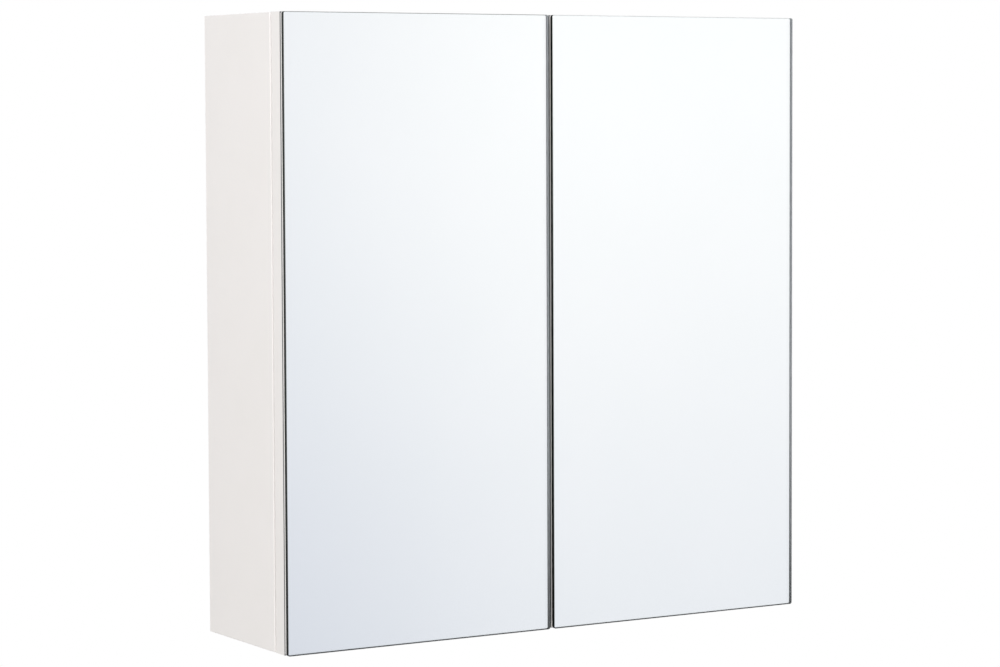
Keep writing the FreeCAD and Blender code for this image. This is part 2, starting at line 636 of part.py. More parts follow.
def hinge_arm(level):
    """A left hinge's cranked arm: an eye on the pin, a hook out of the cup and a bar on the plate."""
    eye_z = (level - EYE_WIDTH / 2, level + EYE_WIDTH / 2)
    neck_front_y = PIN_Y - ARM_NECK_THICKNESS / 2
    neck_back_y = PIN_Y + ARM_NECK_THICKNESS / 2
    bar_front_y = FRONT_Y + ARM_NOSE
    eye = rod(Vector(PIN_X, PIN_Y, eye_z[0]), UP, EYE_RADIUS, EYE_WIDTH)
    neck = box((PIN_X, ARM_LEG_X), (neck_front_y, neck_back_y), eye_z)
    leg = box((ARM_UNDER_X, ARM_LEG_X), (neck_front_y, bar_front_y + ARM_LEG_THICKNESS), eye_z)
    hook = neck.fuse(leg).removeSplitter()
    hook = hook.makeFillet(ARM_ELBOW_ROUND, edges_along(hook, UP, Vector(ARM_LEG_X, neck_front_y, 0)))
    half_width = ARM_WIDTH / 2
    bar = box((ARM_UNDER_X, ARM_TOP_X), (bar_front_y, ARM_REAR_Y), (level - half_width, level + half_width))
    crown = []
    for z in (level - half_width, level + half_width):
        crown += edges_along(bar, BACKWARD, Vector(ARM_TOP_X, 0, z))
    crown += edges_along(bar, UP, Vector(ARM_TOP_X, bar_front_y, 0))
    bar = bar.makeFillet(ARM_ROUND, crown)
    slot_radius = FIXING_SCREW_RADIUS + FIXING_SLOT_FIT
    slot_end = rod(Vector(ARM_UNDER_X, FIXING_Y, level), INWARD, slot_radius, ARM_HEIGHT)
    slot_z = (level - slot_radius, level + slot_radius)
    slot_run = box((ARM_UNDER_X, ARM_TOP_X), (FIXING_Y, ARM_REAR_Y), slot_z)
    adjusting_radius = ADJUSTING_SCREW_RADIUS + ADJUSTING_SCREW_FIT
    adjusting_hole = rod(Vector(ARM_UNDER_X, ADJUSTING_Y, level), INWARD, adjusting_radius, ARM_HEIGHT)
    pin_hole = rod(Vector(PIN_X, PIN_Y, eye_z[0]), UP, HINGE_PIN_RADIUS + EYE_FIT, EYE_WIDTH)
    arm = bar.fuse([hook, eye]).cut([slot_end, slot_run, adjusting_hole, pin_hole])
    return arm.removeSplitter()


def hinge_plate(level):
    """A left hinge's mounting plate on the side panel: a rib under the arm and two screw wings."""
    half_rib = PLATE_RIB_WIDTH / 2
    rib_y = (FRONT_Y + ARM_NOSE + PLATE_RIB_INSET, ARM_REAR_Y)
    rib = box((-INNER_X, ARM_UNDER_X), rib_y, (level - half_rib, level + half_rib))
    wing_middle = Vector(-INNER_X, PLATE_Y, level)
    wings = slot_plate(wing_middle, INWARD, PLATE_WING_THICKNESS, PLATE_SCREW_SPACING / 2, PLATE_WING_RADIUS)
    plate = rib.fuse(wings)
    for step in (-0.5, 0.5):
        at = Vector(-INNER_X, PLATE_Y, level + step * PLATE_SCREW_SPACING)
        plate = plate.cut(rod(at, INWARD, PLATE_SCREW_RADIUS + SCREW_FIT, PLATE_WING_THICKNESS))
    thread = rod(Vector(-INNER_X, FIXING_Y, level), INWARD, FIXING_SCREW_RADIUS + SCREW_FIT, ARM_STANDOFF)
    return plate.cut(thread).removeSplitter()


def cup_screws():
    """The wood screws of the left door's hinge cups."""
    screws = []
    for level in HINGE_LEVELS.values():
        for place in cup_screw_places(level):
            length = FLANGE_THICKNESS + DOOR_SCREW_BITE - SCREW_FIT
            screws.append(
                pan_screw(
                    place, FORWARD, WOOD_SCREW_RADIUS, length, WOOD_SCREW_HEAD_RADIUS, WOOD_SCREW_HEAD_HEIGHT
                )
            )
    return screws


def plate_screws():
    """The screws that hold all the hinge plates to the side panels."""
    length = PLATE_WING_THICKNESS + PANEL_SCREW_BITE - SCREW_FIT
    return both_sides(
        [
            pan_screw(
                place, -INWARD, PLATE_SCREW_RADIUS, length, PLATE_SCREW_HEAD_RADIUS, PLATE_SCREW_HEAD_HEIGHT
            )
            for place in plate_screw_places()
        ]
    )


def fixing_screws():
    """The machine screws that clamp each hinge arm on its plate."""
    length = ARM_HEIGHT + ARM_STANDOFF - SCREW_FIT
    screws = []
    for level in HINGE_LEVELS.values():
        seat = Vector(ARM_TOP_X, FIXING_Y, level)
        screws.append(
            pan_screw(
                seat, -INWARD, FIXING_SCREW_RADIUS, length, FIXING_SCREW_HEAD_RADIUS, FIXING_SCREW_HEAD_HEIGHT
            )
        )
    return both_sides(screws)


def adjusting_screws():
    """The headless screws that set each door's sideways place, flush in the arms."""
    screws = []
    for level in HINGE_LEVELS.values():
        screw = rod(Vector(ARM_UNDER_X, ADJUSTING_Y, level), INWARD, ADJUSTING_SCREW_RADIUS, ARM_HEIGHT)
        half_slot = SCREW_RECESS_WIDTH / 2
        slot = box(
            (ARM_TOP_X - SCREW_RECESS_DEPTH, ARM_TOP_X),
            (ADJUSTING_Y - half_slot, ADJUSTING_Y + half_slot),
            (level - ADJUSTING_SCREW_RADIUS, level + ADJUSTING_SCREW_RADIUS),
        )
        screws.append(screw.cut(slot))
    return both_sides(screws)


def latch_housing():
    """The left latch's housing, bored for its plunger, with a screw base against the top panel."""
    half_width = LATCH_BODY_WIDTH / 2
    body_y = (LATCH_FRONT_Y, LATCH_FRONT_Y + LATCH_BODY_LENGTH)
    low_z = CEILING_Z - LATCH_BODY_HEIGHT
    body = box((LATCH_X - half_width, LATCH_X + half_width), body_y, (low_z, CEILING_Z))
    lower_edges = []
    for x in (LATCH_X - half_width, LATCH_X + half_width):
        lower_edges += edges_along(body, BACKWARD, Vector(x, 0, low_z))
    body = body.makeFillet(LATCH_BODY_ROUND, lower_edges)
    half_base = LATCH_BASE_WIDTH / 2
    base_start = LATCH_FRONT_Y + LATCH_BASE_SETBACK
    base = box(
        (LATCH_X - half_base, LATCH_X + half_base),
        (base_start, base_start + LATCH_BASE_LENGTH),
        (CEILING_Z - LATCH_BASE_THICKNESS, CEILING_Z),
    )
    bore_length = LATCH_BORE_END_Y - LATCH_FRONT_Y
    bore_start = Vector(LATCH_X, LATCH_FRONT_Y, LATCH_AXIS_Z)
    bore = rod(bore_start, BACKWARD, PLUNGER_RADIUS + PLUNGER_FIT, bore_length)
    holes = [rod(at, UP, WOOD_SCREW_RADIUS + SCREW_FIT, LATCH_BASE_THICKNESS) for at in latch_screw_places()]
    return body.fuse(base).cut([bore] + holes).removeSplitter()


def latch_plunger():
    """The left latch's plunger, with a pocket for its magnet."""
    tip = Vector(LATCH_X, PLUNGER_TIP_Y, LATCH_AXIS_Z)
    plain = rod(tip, BACKWARD, PLUNGER_RADIUS, PLUNGER_LENGTH)
    rim = [edge for edge in plain.Edges if edge.BoundBox.YMax < PLUNGER_TIP_Y + PLUNGER_LENGTH / 2]
    rounded = plain.makeFillet(PLUNGER_TIP_ROUND, rim)
    return rounded.cut(rod(tip, BACKWARD, MAGNET_RADIUS + MAGNET_FIT, MAGNET_LENGTH))


def latch_magnet():
    """The magnet in the left plunger's tip."""
    return rod(Vector(LATCH_X, PLUNGER_TIP_Y, LATCH_AXIS_Z), BACKWARD, MAGNET_RADIUS, MAGNET_LENGTH)


def latch_spring():
    """The compression spring behind the left plunger, as one wire along quarter-turn arcs."""
    coil_radius = PLUNGER_RADIUS - SPRING_WIRE_RADIUS - SPRING_FIT
    start_y = PLUNGER_REAR_Y + SPRING_FIT + SPRING_WIRE_RADIUS
    pitch = (SPRING_LENGTH - 2 * SPRING_WIRE_RADIUS) / SPRING_TURNS

    def wire_point(turns):
        angle = 2 * math.pi * turns
        x = LATCH_X + coil_radius * math.cos(angle)
        z = LATCH_AXIS_Z + coil_radius * math.sin(angle)
        return Vector(x, start_y + pitch * turns, z)

    arcs = []
    for quarter in range(4 * SPRING_TURNS):
        points = [wire_point((quarter + part) / 4) for part in (0, 0.5, 1)]
        arcs.append(Part.Arc(*points).toShape())
    path = Part.Wire(arcs)
    tangent = arcs[0].tangentAt(arcs[0].FirstParameter)
    section = Part.Wire(Part.makeCircle(SPRING_WIRE_RADIUS, wire_point(0), tangent))
    return path.makePipeShell([section], True, False)


def latch_screws():
    """The wood screws that hold both latches to the top panel."""
    length = LATCH_BASE_THICKNESS + PANEL_SCREW_BITE - SCREW_FIT
    return both_sides(
        [
            pan_screw(place, UP, WOOD_SCREW_RADIUS, length, WOOD_SCREW_HEAD_RADIUS, WOOD_SCREW_HEAD_HEIGHT)
            for place in latch_screw_places()
        ]
    )


def carcass_nodes():
    """The boards of the carcass and what holds them together."""
    nodes = {
        "top_panel": top_panel(),
        "bottom_panel": level_panel((BOTTOM_Z, FLOOR_Z)),
        "back_panel": back_panel(),
        "upper_hanging_rail": rail((CEILING_Z - UPPER_RAIL_HEIGHT, CEILING_Z)).cut(wall_screw_holes()),
        "lower_rail": rail((FLOOR_Z, FLOOR_Z + LOWER_RAIL_HEIGHT)),
        "shelf_pins": shelf_pins(),
        "dowels": dowels(),
        "cam_bolts": cam_bolts(),
        "cam_locks": cam_locks(),
        "cam_covers": cam_covers(),
        "hinge_plate_screws": plate_screws(),
        "hinge_fixing_screws": fixing_screws(),
        "hinge_adjusting_screws": adjusting_screws(),
        "latch_screws": latch_screws(),
    }
    for name, underside in zip(SHELF_NAMES, SHELF_UNDERSIDES):
        nodes[name] = shelf(underside)
    return nodes


def left_hand_nodes():
    """Everything that the cabinet has once on the left and once on the right."""
    nodes = {
        "side_panel": left_side_panel(),
        "door_board": left_door_board(),
        "door_mirror": left_door_mirror(),
        "door_backing": left_door_backing(),
        "door_tape": left_door_tape(),
        "door_bumpers": left_door_bumpers(),
        "door_strike": left_door_strike(),
        "hinge_cup_screws": Part.makeCompound(cup_screws()),
        "latch_housing": latch_housing(),
        "latch_plunger": latch_plunger(),
        "latch_magnet": latch_magnet(),
        "latch_spring": latch_spring(),
    }
    for name, level in HINGE_LEVELS.items():
        nodes[name + "_hinge_cup"] = hinge_cup(level)
        nodes[name + "_hinge_pin"] = hinge_pin(level)
        nodes[name + "_hinge_arm"] = hinge_arm(level)
        nodes[name + "_hinge_plate"] = hinge_plate(level)
    return nodes


def main():
    """Build every piece and write each to its own file."""
    os.makedirs("parts", exist_ok=True)
    nodes = carcass_nodes()
    for name, shape in left_hand_nodes().items():
        nodes["left_" + name] = shape
        nodes["right_" + name] = mirrored(shape)
    for name, shape in nodes.items():
        shape.exportStep("parts/" + name + ".step")
        print(name, len(shape.Solids), round(shape.Volume, 2), shape.isValid())
    print("hinge pin axis", round(PIN_X, 3), round(PIN_Y, 3))


main()
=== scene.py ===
"""Looks of the two-door mirror cabinet: mirror glass, board finishes, fittings and a plain studio.

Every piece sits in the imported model's own frame: metres, +Z up, mirrors facing -Y, wall plane at Y = 0.
"""

import json
import logging
import math
from dataclasses import dataclass
from enum import Enum, IntEnum

import bmesh
import bpy
from mathutils import Matrix, Vector

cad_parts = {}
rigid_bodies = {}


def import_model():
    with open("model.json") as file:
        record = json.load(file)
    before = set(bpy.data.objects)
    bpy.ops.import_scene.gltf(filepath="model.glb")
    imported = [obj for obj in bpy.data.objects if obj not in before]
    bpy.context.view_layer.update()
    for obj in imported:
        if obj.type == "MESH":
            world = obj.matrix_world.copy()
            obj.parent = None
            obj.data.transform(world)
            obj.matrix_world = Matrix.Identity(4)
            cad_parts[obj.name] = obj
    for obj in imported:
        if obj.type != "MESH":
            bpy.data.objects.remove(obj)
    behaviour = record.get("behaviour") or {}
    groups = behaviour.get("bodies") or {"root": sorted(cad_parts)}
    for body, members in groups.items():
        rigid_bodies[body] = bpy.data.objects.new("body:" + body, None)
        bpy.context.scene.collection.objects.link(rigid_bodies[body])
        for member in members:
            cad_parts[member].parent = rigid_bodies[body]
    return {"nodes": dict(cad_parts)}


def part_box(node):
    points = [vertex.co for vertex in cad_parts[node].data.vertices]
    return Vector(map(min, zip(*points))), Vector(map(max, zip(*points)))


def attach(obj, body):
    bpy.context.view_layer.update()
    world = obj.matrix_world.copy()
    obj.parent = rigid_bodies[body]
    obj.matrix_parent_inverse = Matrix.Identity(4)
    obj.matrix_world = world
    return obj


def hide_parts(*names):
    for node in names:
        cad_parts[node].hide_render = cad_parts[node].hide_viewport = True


LOG = logging.getLogger("mirror_cabinet")
MM = 0.001

Tree = bpy.types.NodeTree
Node = bpy.types.Node
Socket = bpy.types.NodeSocket
Shape = bmesh.types.BMesh
Rgba = tuple[float, float, float, float]
Point = tuple[float, float, float]
Span = tuple[float, float]
# Two sRGB hex colours.
Tones = tuple[str, str]
Settings = dict[str, object]
Inputs = dict[str | int, object]

# What a Mix node mixes, and the places of its sockets for each, because they share their names.
COLOURS: Settings = {"data_type": "RGBA"}
NUMBERS: Settings = {"data_type": "FLOAT"}
SHARE = 0
NUMBER_A, NUMBER_B, NUMBER_OUT = 2, 3, 0
COLOUR_A, COLOUR_B, COLOUR_OUT = 6, 7, 2
# A fade that starts and ends gently.
EASED: Settings = {"interpolation_type": "SMOOTHSTEP"}
# Nearly all values of a noise lie between these two.
NOISE_LOW, NOISE_HIGH = 0.3, 0.7
WHITE: Rgba = (1.0, 1.0, 1.0, 1.0)
# How many faces make a sheet's rounded corner.
CORNER_SEGMENTS = 6


class Side(Enum):
    """Which of the two doors a piece belongs to."""

    LEFT = "left"
    RIGHT = "right"


class Level(Enum):
    """Which of a door's two hinges a piece belongs to."""

    UPPER = "upper"
    LOWER = "lower"


class PaneFace(IntEnum):
    """The kinds of faces on a mirror's glass, in the order of its finishes."""

    CLEAR = 0
    EDGE = 1
    ARRIS = 2
    PAINTED = 3


def linear_colour(hex_code: str) -> Rgba:
    """Turns an sRGB hex colour into linear light.

    Args:
        hex_code: Six hex digits with a leading hash.

    Returns:
        Red, green and blue in linear light, with an alpha of 1.
    """
    parts = [int(hex_code[i : i + 2], 16) / 255 for i in (1, 3, 5)]
    red, green, blue = (p / 12.92 if p <= 0.04045 else ((p + 0.055) / 1.055) ** 2.4 for p in parts)
    return red, green, blue, 1.0


def per_metre(size_mm: float) -> float:
    """Gives the texture scale whose features are about size_mm across."""
    return 1.0 / (size_mm * MM)


def set_inputs(tree: Tree, node: Node, inputs: Inputs) -> None:
    """Sets a node's inputs, and links those that are given a socket.

    Args:
        tree: The node tree that holds the node.
        node: The node.
        inputs: Values or sockets for the inputs, by name or place.
    """
    for key, value in inputs.items():
        if isinstance(value, Socket):
            tree.links.new(value, node.inputs[key])
        else:
            node.inputs[key].default_value = value


def add_node(
    tree: Tree, kind: str, inputs: Inputs | None = None, settings: Settings | None = None
) -> Node:
    """Adds a node with its settings, input values and links.

    Args:
        tree: The node tree that takes the node.
        kind: Blender's name for the node type, without the ShaderNode that it starts with.
        inputs: Values or sockets for the node's inputs, by name or place.
        settings: Values for the node's own properties.

    Returns:
        The new node.
    """
    node = tree.nodes.new("ShaderNode" + kind)
    for name, value in (settings or {}).items():
        setattr(node, name, value)
    set_inputs(tree, node, inputs or {})
    return node


def clouded(
    tree: Tree, place: Socket, size_mm: float, tones: Tones, detail: float
) -> tuple[Socket, Socket]:
    """Adds soft clouds that turn one tone into another.

    Args:
        tree: The material's node tree.
        place: The coordinates that the clouds follow, in metres.
        size_mm: How large the clouds are.
        tones: The two colours.
        detail: How many finer layers the clouds have.

    Returns:
        The clouds' own value, and the colour.
    """
    scale = per_metre(size_mm)
    cloud = add_node(tree, "TexNoise", {"Vector": place, "Scale": scale, "Detail": detail}).outputs[0]
    first, second = (linear_colour(tone) for tone in tones)
    mix = add_node(tree, "Mix", {SHARE: cloud, COLOUR_A: first, COLOUR_B: second}, COLOURS)
    return cloud, mix.outputs[COLOUR_OUT]


@dataclass(frozen=True)
class Finish:
    """A surface finish, which makes its material once and hands it out again after that."""

    name: str

    def material(self) -> bpy.types.Material:
        """Gives the finish's material, made at its first use.

        Returns:
            The material, which has the finish's name.
        """
        found = bpy.data.materials.get(self.name)
        if found is not None:
            return found
        made = bpy.data.materials.new(self.name)
        made.use_nodes = True
        tree = made.node_tree
        tree.nodes.clear()
        shader = add_node(tree, "BsdfPrincipled")
        add_node(tree, "OutputMaterial", {"Surface": shader.outputs[0]})
        place = add_node(tree, "TexCoord").outputs["Object"]
        self.dress(tree, shader, place)
        return made

    def dress(self, tree: Tree, shader: Node, place: Socket) -> None:
        """Sets the shader and adds the pattern nodes.

        Args:
            tree: The material's node tree.
            shader: Its principled shader.
            place: The object coordinates, in metres.
        """
        raise NotImplementedError


@dataclass(frozen=True)
class Melamine(Finish):
    """Melamine paper pressed on particle board: satin white, with a fine pressed pearl to the touch.

    The eye gets a flat warm white with a soft sheen and a hairline where the front edge band is glued on.
    The board's chips show in its bores and on its rear edge, which goes to the wall.
    """

    low: Point
    high: Point
    raw_rear: bool
    colour: str = "#f1eeec"
    shade: str = "#edeae7"
    band: str = "#efecea"
    glue: str = "#b9b2aa"
    chip: str = "#c7a273"
    dark_chip: str = "#9c784b"
    light_chip: str = "#dcc59c"
    cloud_mm: float = 70.0
    chip_mm: float = 2.4
    pearl_mm: float = 1.5
    band_thickness: float = 1.0 * MM
    glue_reach: Span = (0.05 * MM, 0.2 * MM)
    glue_share: float = 0.35
    skin: float = 0.8 * MM
    roughness: Span = (0.40, 0.50)
    raw_roughness: float = 0.85
    relief: float = 0.12
    relief_depth: float = 0.05 * MM

    def dress(self, tree: Tree, shader: Node, place: Socket) -> None:
        """Adds the pearl, the cloudiness, the edge band and the raw chips.

        Args:
            tree: The material's node tree.
            shader: Its principled shader.
            place: The object coordinates, in metres.
        """
        _, paper = clouded(tree, place, self.cloud_mm, (self.colour, self.shade), detail=3.0)
        # A pearl of about 0.4 mm is too fine to show, so it is drawn at 1.5 mm.
        fine = per_metre(self.pearl_mm)
        pearl = add_node(tree, "TexNoise", {"Vector": place, "Scale": fine, "Detail": 2.0}).outputs[0]
        chips = add_node(tree, "TexVoronoi", {"Vector": place, "Scale": per_metre(self.chip_mm)})
        raw = self.raw_share(tree, place)
        white = self.banded(tree, place, paper)
        brown = self.chip_colour(tree, chips.outputs["Color"])
        colour = add_node(tree, "Mix", {SHARE: raw, COLOUR_A: white, COLOUR_B: brown}, COLOURS)
        height = add_node(
            tree, "Mix", {SHARE: raw, NUMBER_A: pearl, NUMBER_B: chips.outputs["Distance"]}, NUMBERS
        ).outputs[NUMBER_OUT]
        bump = add_node(
            tree, "Bump", {"Height": height, "Strength": self.relief, "Distance": self.relief_depth}
        )
        satin = add_node(
            tree,
            "MapRange",
            {
                "Value": pearl,
                "From Min": NOISE_LOW,
                "From Max": NOISE_HIGH,
                "To Min": self.roughness[0],
                "To Max": self.roughness[1],
            },
        ).outputs[0]
        rough = add_node(
            tree, "Mix", {SHARE: raw, NUMBER_A: satin, NUMBER_B: self.raw_roughness}, NUMBERS
        )
        set_inputs(
            tree,
            shader,
            {
                "IOR": 1.5,
                "Specular IOR Level": 0.42,
                "Base Color": colour.outputs[COLOUR_OUT],
                "Roughness": rough.outputs[NUMBER_OUT],
                "Normal": bump.outputs[0],
            },
        )

    def banded(self, tree: Tree, place: Socket, paper: Socket) -> Socket:
        """Lays the edge band and its glue line over the paper, along the board's front.

        Args:
            tree: The material's node tree.
            place: The object coordinates, in metres.
            paper: The colour of the paper.

        Returns:
            The colour with the band.
        """
        along_y = add_node(tree, "SeparateXYZ", {0: place}).outputs["Y"]
        glue_y = self.low[1] + self.band_thickness
        off = add_node(tree, "Math", {0: along_y, 1: glue_y}, {"operation": "SUBTRACT"}).outputs[0]
        front = add_node(tree, "Math", {0: off, 1: 0.0}, {"operation": "LESS_THAN"}).outputs[0]
        banded = add_node(
            tree, "Mix", {SHARE: front, COLOUR_A: paper, COLOUR_B: linear_colour(self.band)}, COLOURS
        ).outputs[COLOUR_OUT]
        away = add_node(tree, "Math", {0: off}, {"operation": "ABSOLUTE"}).outputs[0]
        # The glue line is a tenth of a millimetre wide, and drawn at three tenths.
        hairline = add_node(
            tree,
            "MapRange",
            {
                "Value": away,
                "From Min": self.glue_reach[0],
                "From Max": self.glue_reach[1],
                "To Min": self.glue_share,
                "To Max": 0.0,
            },
        ).outputs[0]
        return add_node(
            tree,
            "Mix",
            {SHARE: hairline, COLOUR_A: banded, COLOUR_B: linear_colour(self.glue)},
            COLOURS,
        ).outputs[COLOUR_OUT]

    def raw_share(self, tree: Tree, place: Socket) -> Socket:
        """Tells the raw surfaces: what lies inside the board's box, and the rear edge where it is bare.

        Args:
            tree: The material's node tree.
            place: The object coordinates, in metres.

        Returns:
            One where the chips show, and nought elsewhere.
        """
        skin = Vector((self.skin, self.skin, self.skin))
        low, high = Vector(self.low) + skin, Vector(self.high) - skin
        if self.raw_rear:
            high.y = self.high[1] + self.skin
        off = add_node(
            tree, "VectorMath", {0: place, 1: (low + high) / 2}, {"operation": "SUBTRACT"}
        ).outputs[0]
        away = add_node(tree, "VectorMath", {0: off}, {"operation": "ABSOLUTE"}).outputs[0]
        beyond = add_node(
            tree, "VectorMath", {0: away, 1: (high - low) / 2}, {"operation": "SUBTRACT"}
        ).outputs[0]
        x, y, z = add_node(tree, "SeparateXYZ", {0: beyond}).outputs
        flat = add_node(tree, "Math", {0: x, 1: y}, {"operation": "MAXIMUM"}).outputs[0]
        most = add_node(tree, "Math", {0: flat, 1: z}, {"operation": "MAXIMUM"}).outputs[0]
        return add_node(tree, "Math", {0: most, 1: 0.0}, {"operation": "LESS_THAN"}).outputs[0]

    def chip_colour(self, tree: Tree, cells: Socket) -> Socket:
        """Colours the chips one by one.

        Args:
            tree: The material's node tree.
            cells: A chance colour for each chip.

        Returns:
            The chips' colour.
        """
        chance = add_node(tree, "SeparateXYZ", {0: cells}).outputs
        chip, dark, light = (linear_colour(c) for c in (self.chip, self.dark_chip, self.light_chip))
        flakes = add_node(
            tree, "Mix", {SHARE: chance[0], COLOUR_A: chip, COLOUR_B: dark}, COLOURS
        ).outputs[COLOUR_OUT]
        return add_node(
            tree, "Mix", {SHARE: chance[1], COLOUR_A: flakes, COLOUR_B: light}, COLOURS
        ).outputs[COLOUR_OUT]


@dataclass(frozen=True)
class Lacquer(Finish):
    """White lacquer sprayed on MDF: a satin film with the slow ripple of orange peel.

    The face under the mirror only has a dark grey priming coat, which is partly its real colour and partly
    painted shade that makes the slot behind the glass look dark.
    """

    front_y: float
    colour: str = "#eeebe8"
    shade: str = "#eae7e4"
    # Dark grey priming coat: partly real, partly painted shade for the slot behind the glass.
    primer_and_slot_shade: str = "#77787a"
    primer_reach: float = 0.2 * MM
    cloud_mm: float = 90.0
    peel_mm: float = 3.0
    roughness: Span = (0.32, 0.40)
    relief: float = 0.10
    relief_depth: float = 0.06 * MM

    def dress(self, tree: Tree, shader: Node, place: Socket) -> None:
        """Adds the cloudiness, the dark grey primed face with its painted slot shade, and the orange peel.

        Args:
            tree: The material's node tree.
            shader: Its principled shader.
            place: The object coordinates, in metres.
        """
        cloud, lacquer = clouded(tree, place, self.cloud_mm, (self.colour, self.shade), detail=2.0)
        along_y = add_node(tree, "SeparateXYZ", {0: place}).outputs["Y"]
        # Where the face lies under the mirror: the primed face, which carries the painted slot shade.
        bare_y = self.front_y + self.primer_reach
        bare = add_node(tree, "Math", {0: along_y, 1: bare_y}, {"operation": "LESS_THAN"}).outputs[0]
        colour = add_node(
            tree, "Mix", {SHARE: bare, COLOUR_A: lacquer, COLOUR_B: linear_colour(self.primer_and_slot_shade)}, COLOURS
        )
        ripple = per_metre(self.peel_mm)
        peel = add_node(tree, "TexNoise", {"Vector": place, "Scale": ripple, "Detail": 1.0}).outputs[0]
        bump = add_node(
            tree, "Bump", {"Height": peel, "Strength": self.relief, "Distance": self.relief_depth}
        )
        rough = add_node(
            tree,
            "MapRange",
            {
                "Value": cloud,
                "From Min": NOISE_LOW,
                "From Max": NOISE_HIGH,
                "To Min": self.roughness[0],
                "To Max": self.roughness[1],
            },
        )
        set_inputs(
            tree,
            shader,
            {
                "IOR": 1.5,
                "Specular IOR Level": 0.45,
                "Base Color": colour.outputs[COLOUR_OUT],
                "Roughness": rough.outputs[0],
                "Normal": bump.outputs[0],
            },
        )


@dataclass(frozen=True)
class Hardboard(Finish):
    """Pressed wood fibre with a painted white face: smooth in front, raw brown fibre on the wall side.

    The raw side has clouds of lighter and darker pulp, loose fibres and the print of the press's screen.
    """

    raw_from_y: float
    face: str = "#ece9e5"
    fibre: str = "#8c6945"
    dark_fibre: str = "#6f5236"
    paint_fade: float = 0.3 * MM
    fibre_mm: float = 5.0
    fibre_twist: float = 1.4
    pulp_mm: float = 25.0
    pulp_span: Span = (0.6, 1.4)
    screen_mm: float = 3.0
    roughness: float = 0.45
    raw_roughness: float = 0.8
    relief: float = 0.15
    relief_depth: float = 0.1 * MM

    def dress(self, tree: Tree, shader: Node, place: Socket) -> None:
        """Adds the painted face, the pulp and fibres behind it, and the print of the screen.

        Args:
            tree: The material's node tree.
            shader: Its principled shader.
            place: The object coordinates, in metres.
        """
        along_y = add_node(tree, "SeparateXYZ", {0: place}).outputs["Y"]
        raw_y = self.raw_from_y
        raw = add_node(
            tree,
            "MapRange",
            {"Value": along_y, "From Min": raw_y, "From Max": raw_y + self.paint_fade},
        ).outputs[0]
        # Fibres are about 1 mm long, and drawn at 5 mm so that they show.
        fibres = add_node(
            tree,
            "TexNoise",
            {
                "Vector": place,
                "Scale": per_metre(self.fibre_mm),
                "Detail": 6.0,
                "Distortion": self.fibre_twist,
            },
        ).outputs[0]
        clumps = per_metre(self.pulp_mm)
        pulp = add_node(tree, "TexNoise", {"Vector": place, "Scale": clumps, "Detail": 3.0}).outputs[0]
        tone = add_node(tree, "Math", {0: fibres, 1: pulp}, {"operation": "ADD"}).outputs[0]
        share = add_node(
            tree,
            "MapRange",
            {"Value": tone, "From Min": self.pulp_span[0], "From Max": self.pulp_span[1]},
        ).outputs[0]
        dark, light, face = (linear_colour(c) for c in (self.dark_fibre, self.fibre, self.face))
        brown = add_node(
            tree, "Mix", {SHARE: share, COLOUR_A: dark, COLOUR_B: light}, COLOURS
        ).outputs[COLOUR_OUT]
        colour = add_node(tree, "Mix", {SHARE: raw, COLOUR_A: face, COLOUR_B: brown}, COLOURS)
        rough = add_node(
            tree, "MapRange", {"Value": raw, "To Min": self.roughness, "To Max": self.raw_roughness}
        )
        screen = add_node(
            tree,
            "TexVoronoi",
            {"Vector": place, "Scale": per_metre(self.screen_mm), "Randomness": 0.0},
        ).outputs["Distance"]
        height = add_node(
            tree, "Mix", {SHARE: raw, NUMBER_A: fibres, NUMBER_B: screen}, NUMBERS
        ).outputs[NUMBER_OUT]
        bump = add_node(
            tree, "Bump", {"Height": height, "Strength": self.relief, "Distance": self.relief_depth}
        )
        set_inputs(
            tree,
            shader,
            {
                "Base Color": colour.outputs[COLOUR_OUT],
                "Roughness": rough.outputs[0],
                "Normal": bump.outputs[0],
            },
        )


@dataclass(frozen=True)
class FloatGlass(Finish):
    """Clear float glass: water clear from the front, with the slow waves that the rollers leave."""

    colour: str = "#fbfefd"
    wave_mm: float = 160.0
    relief: float = 0.02
    relief_depth: float = 0.05 * MM

    def dress(self, tree: Tree, shader: Node, place: Socket) -> None:
        """Adds the clear body and the roller waves.

        Args:
            tree: The material's node tree.
            shader: Its principled shader.
            place: The object coordinates, in metres.
        """
        slow = per_metre(self.wave_mm)
        waves = add_node(tree, "TexNoise", {"Vector": place, "Scale": slow, "Detail": 0.0}).outputs[0]
        bump = add_node(
            tree, "Bump", {"Height": waves, "Strength": self.relief, "Distance": self.relief_depth}
        )
        set_inputs(
            tree,
            shader,
            {
                "Base Color": linear_colour(self.colour),
                "IOR": 1.52,
                "Transmission Weight": 1.0,
                "Roughness": 0.0,
                "Normal": bump.outputs[0],
            },
        )


@dataclass(frozen=True)
class Silvering(Finish):
    """Silver laid on the back of the glass: a bright mirror that is a touch cooler than white."""

    colour: str = "#fafbfc"
    shade: str = "#f7f9fa"
    cloud_mm: float = 120.0

    def dress(self, tree: Tree, shader: Node, place: Socket) -> None:
        """Adds the mirror and the faint clouds of the poured silver.

        Args:
            tree: The material's node tree.
            shader: Its principled shader.
            place: The object coordinates, in metres.
        """
        _, colour = clouded(tree, place, self.cloud_mm, (self.colour, self.shade), detail=1.0)
        set_inputs(tree, shader, {"Metallic": 1.0, "Roughness": 0.0, "Base Color": colour})


